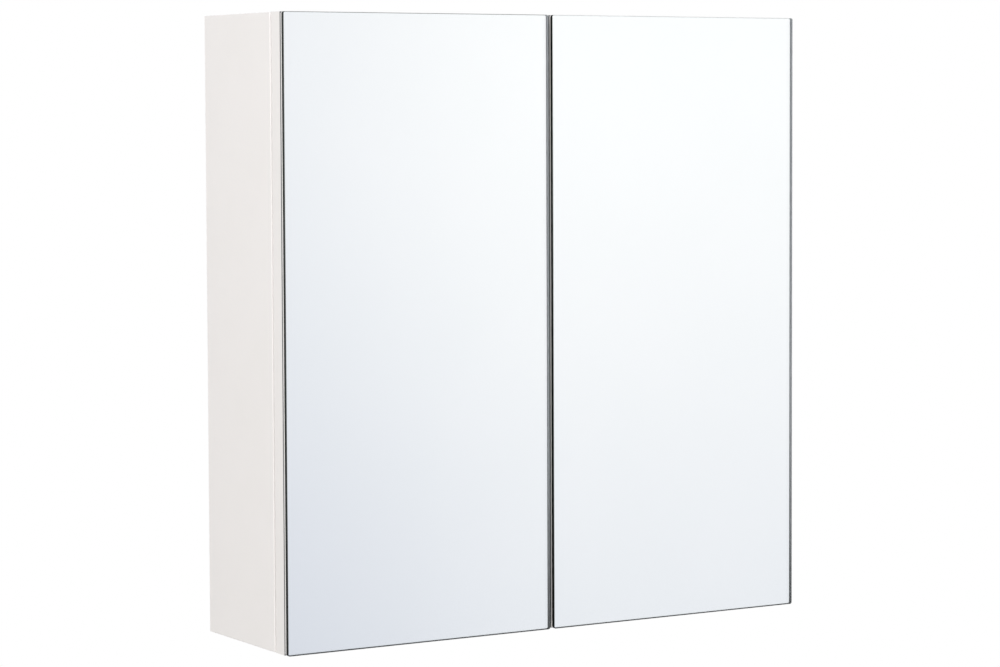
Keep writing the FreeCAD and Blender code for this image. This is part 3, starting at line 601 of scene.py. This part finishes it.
@dataclass(frozen=True)
class GroundEdge(Finish):
    """A ground glass edge: dark green to black in its depth, with the fine grain of the grinding wheel.

    Its tone is painted shade: lighter at the upper edge, which the light reaches, and darker towards the
    lower edge.
    """

    low_z: float
    high_z: float
    tones: Tones = ("#080a09", "#0e110f")
    grain_mm: float = 0.5
    roughness: float = 0.32
    spread: float = 0.15

    def dress(self, tree: Tree, shader: Node, place: Socket) -> None:
        """Adds the painted shade from the lower edge to the upper one, and the grain.

        Args:
            tree: The material's node tree.
            shader: Its principled shader.
            place: The object coordinates, in metres.
        """
        along_z = add_node(tree, "SeparateXYZ", {0: place}).outputs["Z"]
        share = add_node(
            tree, "MapRange", {"Value": along_z, "From Min": self.low_z, "From Max": self.high_z}
        ).outputs[0]
        low, high = (linear_colour(tone) for tone in self.tones)
        colour = add_node(tree, "Mix", {SHARE: share, COLOUR_A: low, COLOUR_B: high}, COLOURS)
        # The wheel's grit is about 0.1 mm, and its grain is drawn at 0.5 mm.
        fine = per_metre(self.grain_mm)
        grain = add_node(tree, "TexNoise", {"Vector": place, "Scale": fine, "Detail": 2.0}).outputs[0]
        rough = add_node(
            tree,
            "MapRange",
            {
                "Value": grain,
                "From Min": NOISE_LOW,
                "From Max": NOISE_HIGH,
                "To Min": self.roughness,
                "To Max": self.roughness + self.spread,
            },
        )
        set_inputs(
            tree,
            shader,
            {
                "IOR": 1.52,
                "Specular IOR Level": 0.08,
                "Base Color": colour.outputs[COLOUR_OUT],
                "Roughness": rough.outputs[0],
            },
        )


@dataclass(frozen=True)
class Coating(Finish):
    """A plain coat, sheet or moulding: one colour that clouds a little, with a fine even texture.

    The textures of such surfaces are mostly under 0.2 mm, and they are drawn coarser so that they show.
    """

    colour: str
    shade: str
    grain_mm: float = 1.0
    roughness: float = 0.5
    spread: Span = (-0.04, 0.06)
    relief: float = 0.1
    relief_depth: float = 0.1 * MM
    ior: float = 1.5
    clear: float = 0.0

    def dress(self, tree: Tree, shader: Node, place: Socket) -> None:
        """Adds the cloudy colour and the texture.

        Args:
            tree: The material's node tree.
            shader: Its principled shader.
            place: The object coordinates, in metres.
        """
        grain, colour = clouded(tree, place, self.grain_mm, (self.colour, self.shade), detail=3.0)
        rough = add_node(
            tree,
            "MapRange",
            {
                "Value": grain,
                "From Min": NOISE_LOW,
                "From Max": NOISE_HIGH,
                "To Min": self.roughness + self.spread[0],
                "To Max": self.roughness + self.spread[1],
            },
        )
        bump = add_node(
            tree, "Bump", {"Height": grain, "Strength": self.relief, "Distance": self.relief_depth}
        )
        set_inputs(
            tree,
            shader,
            {
                "IOR": self.ior,
                "Transmission Weight": self.clear,
                "Base Color": colour,
                "Roughness": rough.outputs[0],
                "Normal": bump.outputs[0],
            },
        )


@dataclass(frozen=True)
class PlatedMetal(Finish):
    """Plated, cast or drawn metal: a soft metallic shine that clouds over a few millimetres.

    Its pits are a few hundredths of a millimetre wide, and are drawn coarser so that they show.
    """

    colour: str
    shade: str
    cloud_mm: float = 9.0
    grain_mm: float = 0.4
    roughness: float = 0.24
    spread: Span = (-0.04, 0.08)
    relief: float = 0.05
    relief_depth: float = 0.05 * MM

    def dress(self, tree: Tree, shader: Node, place: Socket) -> None:
        """Adds the metal's clouds, its shine and its pits.

        Args:
            tree: The material's node tree.
            shader: Its principled shader.
            place: The object coordinates, in metres.
        """
        clouds, colour = clouded(tree, place, self.cloud_mm, (self.colour, self.shade), detail=3.0)
        fine = per_metre(self.grain_mm)
        grain = add_node(tree, "TexNoise", {"Vector": place, "Scale": fine, "Detail": 2.0}).outputs[0]
        rough = add_node(
            tree,
            "MapRange",
            {
                "Value": clouds,
                "From Min": NOISE_LOW,
                "From Max": NOISE_HIGH,
                "To Min": self.roughness + self.spread[0],
                "To Max": self.roughness + self.spread[1],
            },
        )
        bump = add_node(
            tree, "Bump", {"Height": grain, "Strength": self.relief, "Distance": self.relief_depth}
        )
        set_inputs(
            tree,
            shader,
            {
                "Metallic": 1.0,
                "Base Color": colour,
                "Roughness": rough.outputs[0],
                "Normal": bump.outputs[0],
            },
        )


@dataclass(frozen=True)
class Beech(Finish):
    """Turned beech: pale brown with short darker flecks along the dowel."""

    colour: str = "#cfa678"
    fleck: str = "#a87b4e"
    fleck_mm: float = 0.8
    fleck_stretch: Point = (0.12, 1.0, 1.0)
    roughness: float = 0.6

    def dress(self, tree: Tree, shader: Node, place: Socket) -> None:
        """Adds the flecks, stretched along X, the way that the dowels lie.

        Args:
            tree: The material's node tree.
            shader: Its principled shader.
            place: The object coordinates, in metres.
        """
        along = add_node(tree, "Mapping", {"Vector": place, "Scale": self.fleck_stretch}).outputs[0]
        _, colour = clouded(tree, along, self.fleck_mm, (self.colour, self.fleck), detail=4.0)
        set_inputs(tree, shader, {"Roughness": self.roughness, "Base Color": colour})


CLEAR_GLASS = FloatGlass("float_glass_clear")
SILVER = Silvering("silver_on_glass")
# The arris, ground by hand: a grey line round each mirror. Its tones are painted shade: darker on the left
# one and towards the bottom.
ARRIS_PAINTED_SHADE_TONES: dict[Side, Tones] = {Side.LEFT: ("#2b2e2d", "#7f8382"), Side.RIGHT: ("#2b2e2d", "#d2d6d5")}
# Painted light: the pale lining stands in for the light that comes in through the ground edge, seen from
# within the glass, and it is darker towards the bottom.
LINING_PAINTED_LIGHT_TONES: Tones = ("#8a8e8c", "#f6f9f8")
# Paint rolled over the silver: dull grey, with a breath of green.
MIRROR_PAINT = Coating("mirror_back_paint", "#6f7673", "#666d6a", grain_mm=2.0, roughness=0.6)
# Rigid PVC, extruded: a clean white sheet with a low sheen.
PVC_SHEET = Coating("pvc_sheet_extruded", "#f8f6f4", "#f3f1ee", grain_mm=1.5, roughness=0.45)
# Acrylic foam, cut from a roll: off-white and dull, with open cells along the cut.
FOAM = Coating("acrylic_foam_cut", "#d9d8d4", "#c8c7c2", grain_mm=0.7, roughness=0.85, relief=0.4)
# Silicone, moulded: milky and half clear, with a smooth skin.
SILICONE = Coating(
    "silicone_moulded", "#eef0f0", "#e6e9e9", grain_mm=1.2, roughness=0.3, ior=1.41, clear=0.75
)
# Acetal, moulded: white, with the soft shine and fine texture of an eroded mould.
ACETAL = Coating("acetal_moulded", "#eceae6", "#e6e4df", grain_mm=0.6, roughness=0.42, relief=0.15)
# Polypropylene, moulded: white caps, a little smoother than the board round them.
CAP_PLASTIC = Coating("polypropylene_moulded", "#edeae6", "#e8e5e0", grain_mm=0.8, roughness=0.38)
# Ferrite, sintered: nearly black and dull, with a gritty face.
FERRITE = Coating("ferrite_sintered", "#2c2c2e", "#212123", grain_mm=0.5, roughness=0.6, relief=0.3)
# Nickel on pressed steel: a warm, soft shine.
NICKEL = PlatedMetal("nickel_plated_steel", "#c9c5bd", "#bcb7ae")
# Zinc on steel screws: colder than nickel, with smaller clouds.
ZINC = PlatedMetal("zinc_plated_steel", "#c4c9cc", "#b4babf", cloud_mm=4.0, roughness=0.28)
# Zinc, die cast and left bare: darker and duller, with a rough skin.
CASTING = PlatedMetal("zinc_die_cast", "#a9abac", "#989b9d", roughness=0.45, relief=0.2)
# Spring wire, drawn: dark steel with a soft shine.
SPRING_WIRE = PlatedMetal("spring_wire_drawn", "#a3a4a6", "#8f9093", cloud_mm=2.0, roughness=0.3)
DOWEL_BEECH = Beech("beech_turned")


def new_object(name: str, data: bpy.types.ID) -> bpy.types.Object:
    """Puts a new object into the scene, at the origin.

    Args:
        name: The object's name.
        data: Its mesh, camera or lamp.

    Returns:
        The new object.
    """
    made = bpy.data.objects.new(name, data)
    bpy.context.scene.collection.objects.link(made)
    return made


def new_mesh(name: str, shape: Shape, materials: list[bpy.types.Material]) -> bpy.types.Mesh:
    """Turns a finished shape into a mesh.

    Args:
        name: The mesh's name.
        shape: The shape, which is freed here.
        materials: The mesh's materials, in the order of the faces' material places.

    Returns:
        The new mesh.
    """
    mesh = bpy.data.meshes.new(name)
    shape.to_mesh(mesh)
    shape.free()
    for material in materials:
        mesh.materials.append(material)
    return mesh


def new_piece(
    name: str, shape: Shape, finishes: list[Finish], body: str, node: str
) -> None:
    """Makes a piece of the cabinet from a finished shape.

    Args:
        name: The piece's name.
        shape: Its shape in the model's frame, which is freed here.
        finishes: Its finishes, in the order of the faces' material places.
        body: The CAD body that carries it.
        node: The CAD node that it stands for.
    """
    mesh = new_mesh(name, shape, [finish.material() for finish in finishes])
    piece = new_object(name, mesh)
    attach(piece, body)
    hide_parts(node)
    LOG.info("%s made for %s on %s", name, node, body)


def bevel_edges(shape: Shape, edges: list[bmesh.types.BMEdge], offset: float, segments: int) -> None:
    """Rounds or chamfers some of a shape's edges.

    Args:
        shape: The shape.
        edges: The edges.
        offset: How far the bevel reaches from each edge.
        segments: How many faces make it; one makes a chamfer.
    """
    bmesh.ops.bevel(
        shape,
        geom=edges,
        offset=offset,
        offset_type="OFFSET",
        segments=segments,
        profile=0.5,
        affect="EDGES",
        material=-1,
    )


def rounded_sheet(low: Vector, high: Vector, radius: float) -> Shape:
    """Starts a shape as an upright sheet that faces the front, with its four corners rounded.

    Args:
        low: The corner with the lowest X, Y and Z.
        high: The corner with the highest X, Y and Z.
        radius: The corners' radius.

    Returns:
        The new shape.
    """
    shape = bmesh.new()
    bmesh.ops.create_cube(shape, size=1.0)
    bmesh.ops.scale(shape, vec=high - low, verts=shape.verts)
    bmesh.ops.translate(shape, vec=(high + low) / 2, verts=shape.verts)
    half_depth = (high.y - low.y) / 2
    corners = [e for e in shape.edges if abs(e.verts[0].co.y - e.verts[1].co.y) > half_depth]
    bevel_edges(shape, corners, radius, CORNER_SEGMENTS)
    return shape


@dataclass
class SubAssembly:
    """A part of the cabinet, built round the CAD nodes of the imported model."""

    nodes: dict[str, bpy.types.Object]

    def dress(self, finish: Finish, *names: str) -> None:
        """Gives CAD nodes that stay in view their finish.

        Args:
            finish: The finish of their whole surface.
            names: The nodes' names.
        """
        for name in names:
            slots = self.nodes[name].data.materials
            slots.clear()
            slots.append(finish.material())
            LOG.info("%s dressed in %s", name, finish.name)


@dataclass
class MirrorPane:
    """One door's mirror: a glass plate with a ground edge and arris, silvered on its back.

    Light comes in through the ground edge, so from within the glass it looks grey, and not black as from
    outside. A thin pale lining inside the edge paints that light, with painted shade towards the bottom.
    """

    side: Side
    arris: float = 0.4 * MM
    corner: float = 2.0 * MM
    silver_depth: float = 0.08 * MM
    film: float = 0.05 * MM
    inset: float = 0.1 * MM
    # How far above its lower edge the lining's painted light is full; below that, painted shade darkens it.
    painted_light_rise: float = 194 * MM
    # How far a face's normal has to lean to the front or rear: on a flat face, and on the slanted arris.
    flat_lean: float = 0.9
    arris_lean: float = 0.3

    def build(self) -> None:
        """Makes the glass, the silver and the edge lining in the place of the CAD mirror."""
        name = self.side.value
        low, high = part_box(f"{name}_door_mirror")
        # The ground edge is dark glass, with painted shade that darkens it towards the bottom.
        edge = GroundEdge("glass_edge_ground_painted_shade", low.z, high.z)
        # The arris tones are painted shade: a darker copy for the left door, and darker towards the bottom.
        tones = ARRIS_PAINTED_SHADE_TONES[self.side]
        arris = GroundEdge(f"glass_arris_ground_{name}", low.z, high.z, tones, roughness=0.5)
        self.add("glass", self.glass(low, high), [CLEAR_GLASS, edge, arris, MIRROR_PAINT])
        inset = Vector((self.inset, 0.0, self.inset))
        back = high.y - self.silver_depth
        inner_low = Vector((low.x, back - self.film, low.z)) + inset
        inner_high = Vector((high.x, back, high.z)) - inset
        self.add("silver", rounded_sheet(inner_low, inner_high, self.corner - self.inset), [SILVER])
        inner_low.y, inner_high.y = low.y + self.arris, inner_low.y - self.film
        # The lining's pale tone is painted light, with painted shade towards its lower edge.
        painted_light_z = low.z + self.painted_light_rise
        painted_light_edge = GroundEdge("glass_edge_painted_light", low.z, painted_light_z, LINING_PAINTED_LIGHT_TONES, roughness=0.6)
        self.add("edge_lining", self.lining(inner_low, inner_high), [painted_light_edge])

    def add(self, part: str, shape: Shape, finishes: list[Finish]) -> None:
        """Makes one part of the mirror a piece of its door.

        Args:
            part: What the part is, as its name ends.
            shape: Its shape, which is freed here.
            finishes: Its finishes, in the order of the faces' material places.
        """
        name = self.side.value
        new_piece(
            f"{name}_mirror_{part}", shape, finishes, f"{name}_door", f"{name}_door_mirror"
        )

    def lining(self, low: Vector, high: Vector) -> Shape:
        """Makes the thin frame inside the ground edge.

        Args:
            low: The frame's lowest outer corner.
            high: The frame's highest outer corner.

        Returns:
            The frame, with walls one film thick.
        """
        shape = rounded_sheet(low, high, self.corner - self.inset)
        ends = [f for f in shape.faces if abs(f.normal.y) > self.flat_lean]
        bmesh.ops.delete(shape, geom=ends, context="FACES_ONLY")
        bmesh.ops.solidify(shape, geom=shape.faces, thickness=self.film)
        return shape

    def glass(self, low: Vector, high: Vector) -> Shape:
        """Makes the plate with its front arris ground off.

        Args:
            low: The plate's lowest corner.
            high: The plate's highest corner.

        Returns:
            The plate, with the glass, edge, arris and painted faces told apart.
        """
        shape = rounded_sheet(low, high, self.corner)
        front = [e for e in shape.edges if all(v.co.y < low.y + self.arris / 2 for v in e.verts)]
        bevel_edges(shape, front, self.arris, segments=1)
        shape.normal_update()
        small = self.corner * (high.y - low.y)
        for face in shape.faces:
            lean = face.normal.y
            face.smooth = abs(lean) < self.flat_lean and face.calc_area() < small
            if lean > self.flat_lean:
                face.material_index = PaneFace.PAINTED
            elif lean < -self.flat_lean:
                face.material_index = PaneFace.CLEAR
            elif lean < -self.arris_lean:
                face.material_index = PaneFace.ARRIS
            else:
                face.material_index = PaneFace.EDGE
        return shape


@dataclass
class Door(SubAssembly):
    """One mirror door: its board, mirror, backing, tape, bumpers and strike, and its hinges and latch."""

    side: Side

    def build(self) -> None:
        """Makes the mirror and dresses the rest of the door."""
        MirrorPane(self.side).build()
        name = self.side.value
        front_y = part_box(f"{name}_door_board")[0].y
        self.dress(Lacquer("lacquered_mdf_sprayed", front_y), f"{name}_door_board")
        self.dress(PVC_SHEET, f"{name}_door_backing")
        self.dress(FOAM, f"{name}_door_tape")
        self.dress(SILICONE, f"{name}_door_bumpers")
        self.dress(ZINC, f"{name}_door_strike", f"{name}_hinge_cup_screws")
        for level in Level:
            hinge = f"{name}_{level.value}_hinge"
            self.dress(NICKEL, f"{hinge}_cup", f"{hinge}_pin", f"{hinge}_arm", f"{hinge}_plate")
        self.dress(ACETAL, f"{name}_latch_housing", f"{name}_latch_plunger")
        self.dress(FERRITE, f"{name}_latch_magnet")
        self.dress(SPRING_WIRE, f"{name}_latch_spring")


@dataclass
class Carcass(SubAssembly):
    """The fixed box: boards, shelves and the fittings that join them."""

    def build(self) -> None:
        """Dresses the boards and the fittings."""
        for node in ("left_side_panel", "right_side_panel", "top_panel", "bottom_panel"):
            self.dress(self.board_finish(node, raw_rear=True), node)
        for node in ("lower_shelf", "upper_shelf", "upper_hanging_rail", "lower_rail"):
            self.dress(self.board_finish(node, raw_rear=False), node)
        # The paint of the front ends halfway through the sheet.
        front, rear = (corner.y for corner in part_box("back_panel"))
        self.dress(Hardboard("hardboard_painted", (front + rear) / 2), "back_panel")
        self.dress(NICKEL, "shelf_pins")
        self.dress(DOWEL_BEECH, "dowels")
        self.dress(CASTING, "cam_locks")
        self.dress(CAP_PLASTIC, "cam_covers")
        self.dress(ZINC, "cam_bolts", "hinge_plate_screws", "hinge_fixing_screws")
        self.dress(ZINC, "hinge_adjusting_screws", "latch_screws")

    def board_finish(self, node: str, raw_rear: bool) -> Melamine:
        """Gives a board its own melamine, which knows the board's box.

        Args:
            node: The board's CAD node.
            raw_rear: Whether its rear edge is bare.

        Returns:
            The finish.
        """
        low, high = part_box(node)
        return Melamine(f"melamine_pressed_{node}", tuple(low), tuple(high), raw_rear)


# The points on the cabinet that the lamps face.
LEFT_HALF: Point = (-0.1, -0.1, -0.25)
MIDDLE: Point = (0.0, -0.1, -0.25)


@dataclass(frozen=True)
class Softbox:
    """A soft lamp: a lit rectangle that hangs in one place and faces a point on the cabinet."""

    name: str
    place: Point
    target: Point
    size: Span
    watts: float

    def hang(self) -> None:
        """Adds the lamp, which lights the cabinet but doesn't show in its mirrors."""
        data = bpy.data.lights.new(self.name, "AREA")
        data.shape = "RECTANGLE"
        data.size, data.size_y = self.size
        data.energy = self.watts
        lamp = new_object(self.name, data)
        lamp.location = self.place
        aim = Vector(self.target) - Vector(self.place)
        lamp.rotation_euler = aim.to_track_quat("-Z", "Y").to_euler()
        lamp.visible_glossy = False
        lamp.visible_transmission = False


@dataclass(frozen=True)
class Fade:
    """How the surroundings deepen in the mirrors while one part of the direction runs from start to end."""

    start: float
    end: float
    first: float
    last: float


@dataclass
class Studio:
    """The plain studio: floor, soft lights, white surroundings and the camera."""

    lens_mm: float = 111.892
    shift_y: float = -0.05
    camera_place: Point = (-1.59716, -2.73396, -0.03234)
    azimuth_deg: float = 30.951
    pitch_deg: float = -3.263
    roll_deg: float = -0.2175
    floor_z: float = -2.0
    floor_reach: float = 4.0
    floor_segments: int = 96
    floor_colour: str = "#dcd5cc"
    floor_glow: float = 0.32
    rim_share: Span = (0.3, 0.9)
    ambient: Rgba = (0.53, 0.535, 0.545, 1.0)
    mirrored_pale: Rgba = (1.08, 1.06, 1.065, 1.0)
    mirrored_deep: Rgba = (0.10, 0.17, 0.36, 1.0)
    ahead_fade: Fade = Fade(start=0.42, end=0.54, first=0.16, last=0.0)
    down_fade: Fade = Fade(start=0.03, end=-0.25, first=0.0, last=0.24)
    up_fade: Fade = Fade(start=0.05, end=0.6, first=0.0, last=0.22)
    softboxes: tuple[Softbox, ...] = (
        Softbox("key_softbox", place=(-1.87, -2.63, 1.39), target=LEFT_HALF, size=(0.5, 1.5), watts=74.0),
        Softbox("side_softbox", place=(-3.04, -0.73, 0.84), target=LEFT_HALF, size=(1.2, 1.6), watts=12.0),
        Softbox("fill_softbox", place=(2.87, -1.26, 0.88), target=MIDDLE, size=(1.6, 1.6), watts=18.0),
        Softbox("rear_softbox", place=(1.2, 2.9, 1.0), target=MIDDLE, size=(1.5, 1.5), watts=28.0),
    )

    def build(self) -> None:
        """Sets up everything round the cabinet."""
        bpy.context.scene.view_settings.view_transform = "Standard"
        self.camera()
        self.floor()
        self.world()
        for softbox in self.softboxes:
            softbox.hang()

    def camera(self) -> None:
        """Places the camera at the photograph's viewing angle."""
        azimuth, pitch, roll = (
            math.radians(a) for a in (self.azimuth_deg, self.pitch_deg, self.roll_deg)
        )
        ahead_x, ahead_y = (f(azimuth) * math.cos(pitch) for f in (math.sin, math.cos))
        ahead = Vector((ahead_x, ahead_y, math.sin(pitch)))
        level = Vector((math.cos(azimuth), -math.sin(azimuth), 0.0))
        above = level.cross(ahead)
        across = level * math.cos(roll) + above * math.sin(roll)
        upward = above * math.cos(roll) - level * math.sin(roll)
        data = bpy.data.cameras.new("camera")
        data.lens = self.lens_mm
        data.shift_y = self.shift_y
        camera = new_object("camera", data)
        turn = Matrix((across, upward, -ahead)).transposed()
        camera.matrix_world = Matrix.Translation(self.camera_place) @ turn.to_4x4()
        bpy.context.scene.camera = camera

    def floor(self) -> None:
        """Lays the pale round floor, which keeps the shadow."""
        shape = bmesh.new()
        bmesh.ops.create_circle(
            shape,
            cap_ends=True,
            segments=self.floor_segments,
            radius=self.floor_reach,
            matrix=Matrix.Translation((0, 0, self.floor_z)),
        )
        floor = new_object("studio_floor", new_mesh("studio_floor", shape, [self.floor_material()]))
        # The mirrors show the white surroundings, and not the rim of the floor.
        floor.visible_glossy = False
        floor.visible_transmission = False

    def floor_material(self) -> bpy.types.Material:
        """Makes the floor's matt paint, which fades to white towards its rim for the camera.

        Returns:
            The material.
        """
        material = bpy.data.materials.new("studio_floor")
        material.use_nodes = True
        tree = material.node_tree
        tree.nodes.clear()
        matt = add_node(tree, "BsdfDiffuse", {"Color": linear_colour(self.floor_colour)}).outputs[0]
        glow = add_node(tree, "Emission", {"Strength": self.floor_glow}).outputs[0]
        lit = add_node(tree, "AddShader", {0: matt, 1: glow}).outputs[0]
        place = add_node(tree, "TexCoord").outputs["Object"]
        flat = add_node(
            tree, "VectorMath", {0: place, 1: (1.0, 1.0, 0.0)}, {"operation": "MULTIPLY"}
        ).outputs[0]
        reach = add_node(tree, "VectorMath", {0: flat}, {"operation": "LENGTH"}).outputs["Value"]
        rim_from, rim_to = (share * self.floor_reach for share in self.rim_share)
        rim = add_node(
            tree, "MapRange", {"Value": reach, "From Min": rim_from, "From Max": rim_to}, EASED
        ).outputs[0]
        white = add_node(tree, "Emission", {"Strength": 1.0}).outputs[0]
        shown = add_node(tree, "MixShader", {0: rim, 1: lit, 2: white}).outputs[0]
        seen = add_node(tree, "LightPath").outputs["Is Camera Ray"]
        mixed = add_node(tree, "MixShader", {0: seen, 1: matt, 2: shown}).outputs[0]
        add_node(tree, "OutputMaterial", {"Surface": mixed})
        return material

    def world(self) -> None:
        """Makes the surroundings: white to the camera, softly graded in reflections, even for the light."""
        world = bpy.data.worlds.new("studio")
        bpy.context.scene.world = world
        world.use_nodes = True
        tree = world.node_tree
        tree.nodes.clear()
        path = add_node(tree, "LightPath").outputs
        even = add_node(
            tree, "Mix", {SHARE: path["Is Camera Ray"], COLOUR_A: self.ambient, COLOUR_B: WHITE}, COLOURS
        ).outputs[COLOUR_OUT]
        mirrored = add_node(
            tree,
            "Math",
            {0: path["Is Glossy Ray"], 1: path["Is Transmission Ray"]},
            {"operation": "MAXIMUM"},
        ).outputs[0]
        graded = self.mirrored_colour(tree)
        colour = add_node(
            tree, "Mix", {SHARE: mirrored, COLOUR_A: even, COLOUR_B: graded}, COLOURS
        ).outputs[COLOUR_OUT]
        light = add_node(tree, "Background", {"Color": colour}).outputs[0]
        add_node(tree, "OutputWorld", {"Surface": light})

    def mirrored_colour(self, tree: Tree) -> Socket:
        """Grades what the mirrors show: white near the level, and bluer straight ahead, below and above.

        Args:
            tree: The world's node tree.

        Returns:
            The colour of the surroundings in each direction.
        """
        way = add_node(tree, "TexCoord").outputs["Generated"]
        x, _, z = add_node(tree, "SeparateXYZ", {0: way}).outputs
        aside = add_node(tree, "Math", {0: x}, {"operation": "ABSOLUTE"}).outputs[0]
        depth: Socket | float = 0.0
        for along, fade in ((aside, self.ahead_fade), (z, self.down_fade), (z, self.up_fade)):
            more = add_node(
                tree,
                "MapRange",
                {
                    "Value": along,
                    "From Min": fade.start,
                    "From Max": fade.end,
                    "To Min": fade.first,
                    "To Max": fade.last,
                },
                EASED,
            ).outputs[0]
            depth = add_node(tree, "Math", {0: depth, 1: more}, {"operation": "ADD"}).outputs[0]
        return add_node(
            tree,
            "Mix",
            {SHARE: depth, COLOUR_A: self.mirrored_pale, COLOUR_B: self.mirrored_deep},
            COLOURS,
        ).outputs[COLOUR_OUT]


def clear_startup() -> None:
    """Removes what Blender's own startup scene holds."""
    for thing in list(bpy.data.objects):
        bpy.data.objects.remove(thing)


def main() -> None:
    """Builds the cabinet's looks in order."""
    logging.basicConfig(level=logging.INFO, format="%(name)s: %(message)s")
    clear_startup()
    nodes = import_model()["nodes"]
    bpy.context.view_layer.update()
    Carcass(nodes).build()
    for side in Side:
        Door(nodes, side).build()
    Studio().build()


if __name__ == "__main__":
    main()
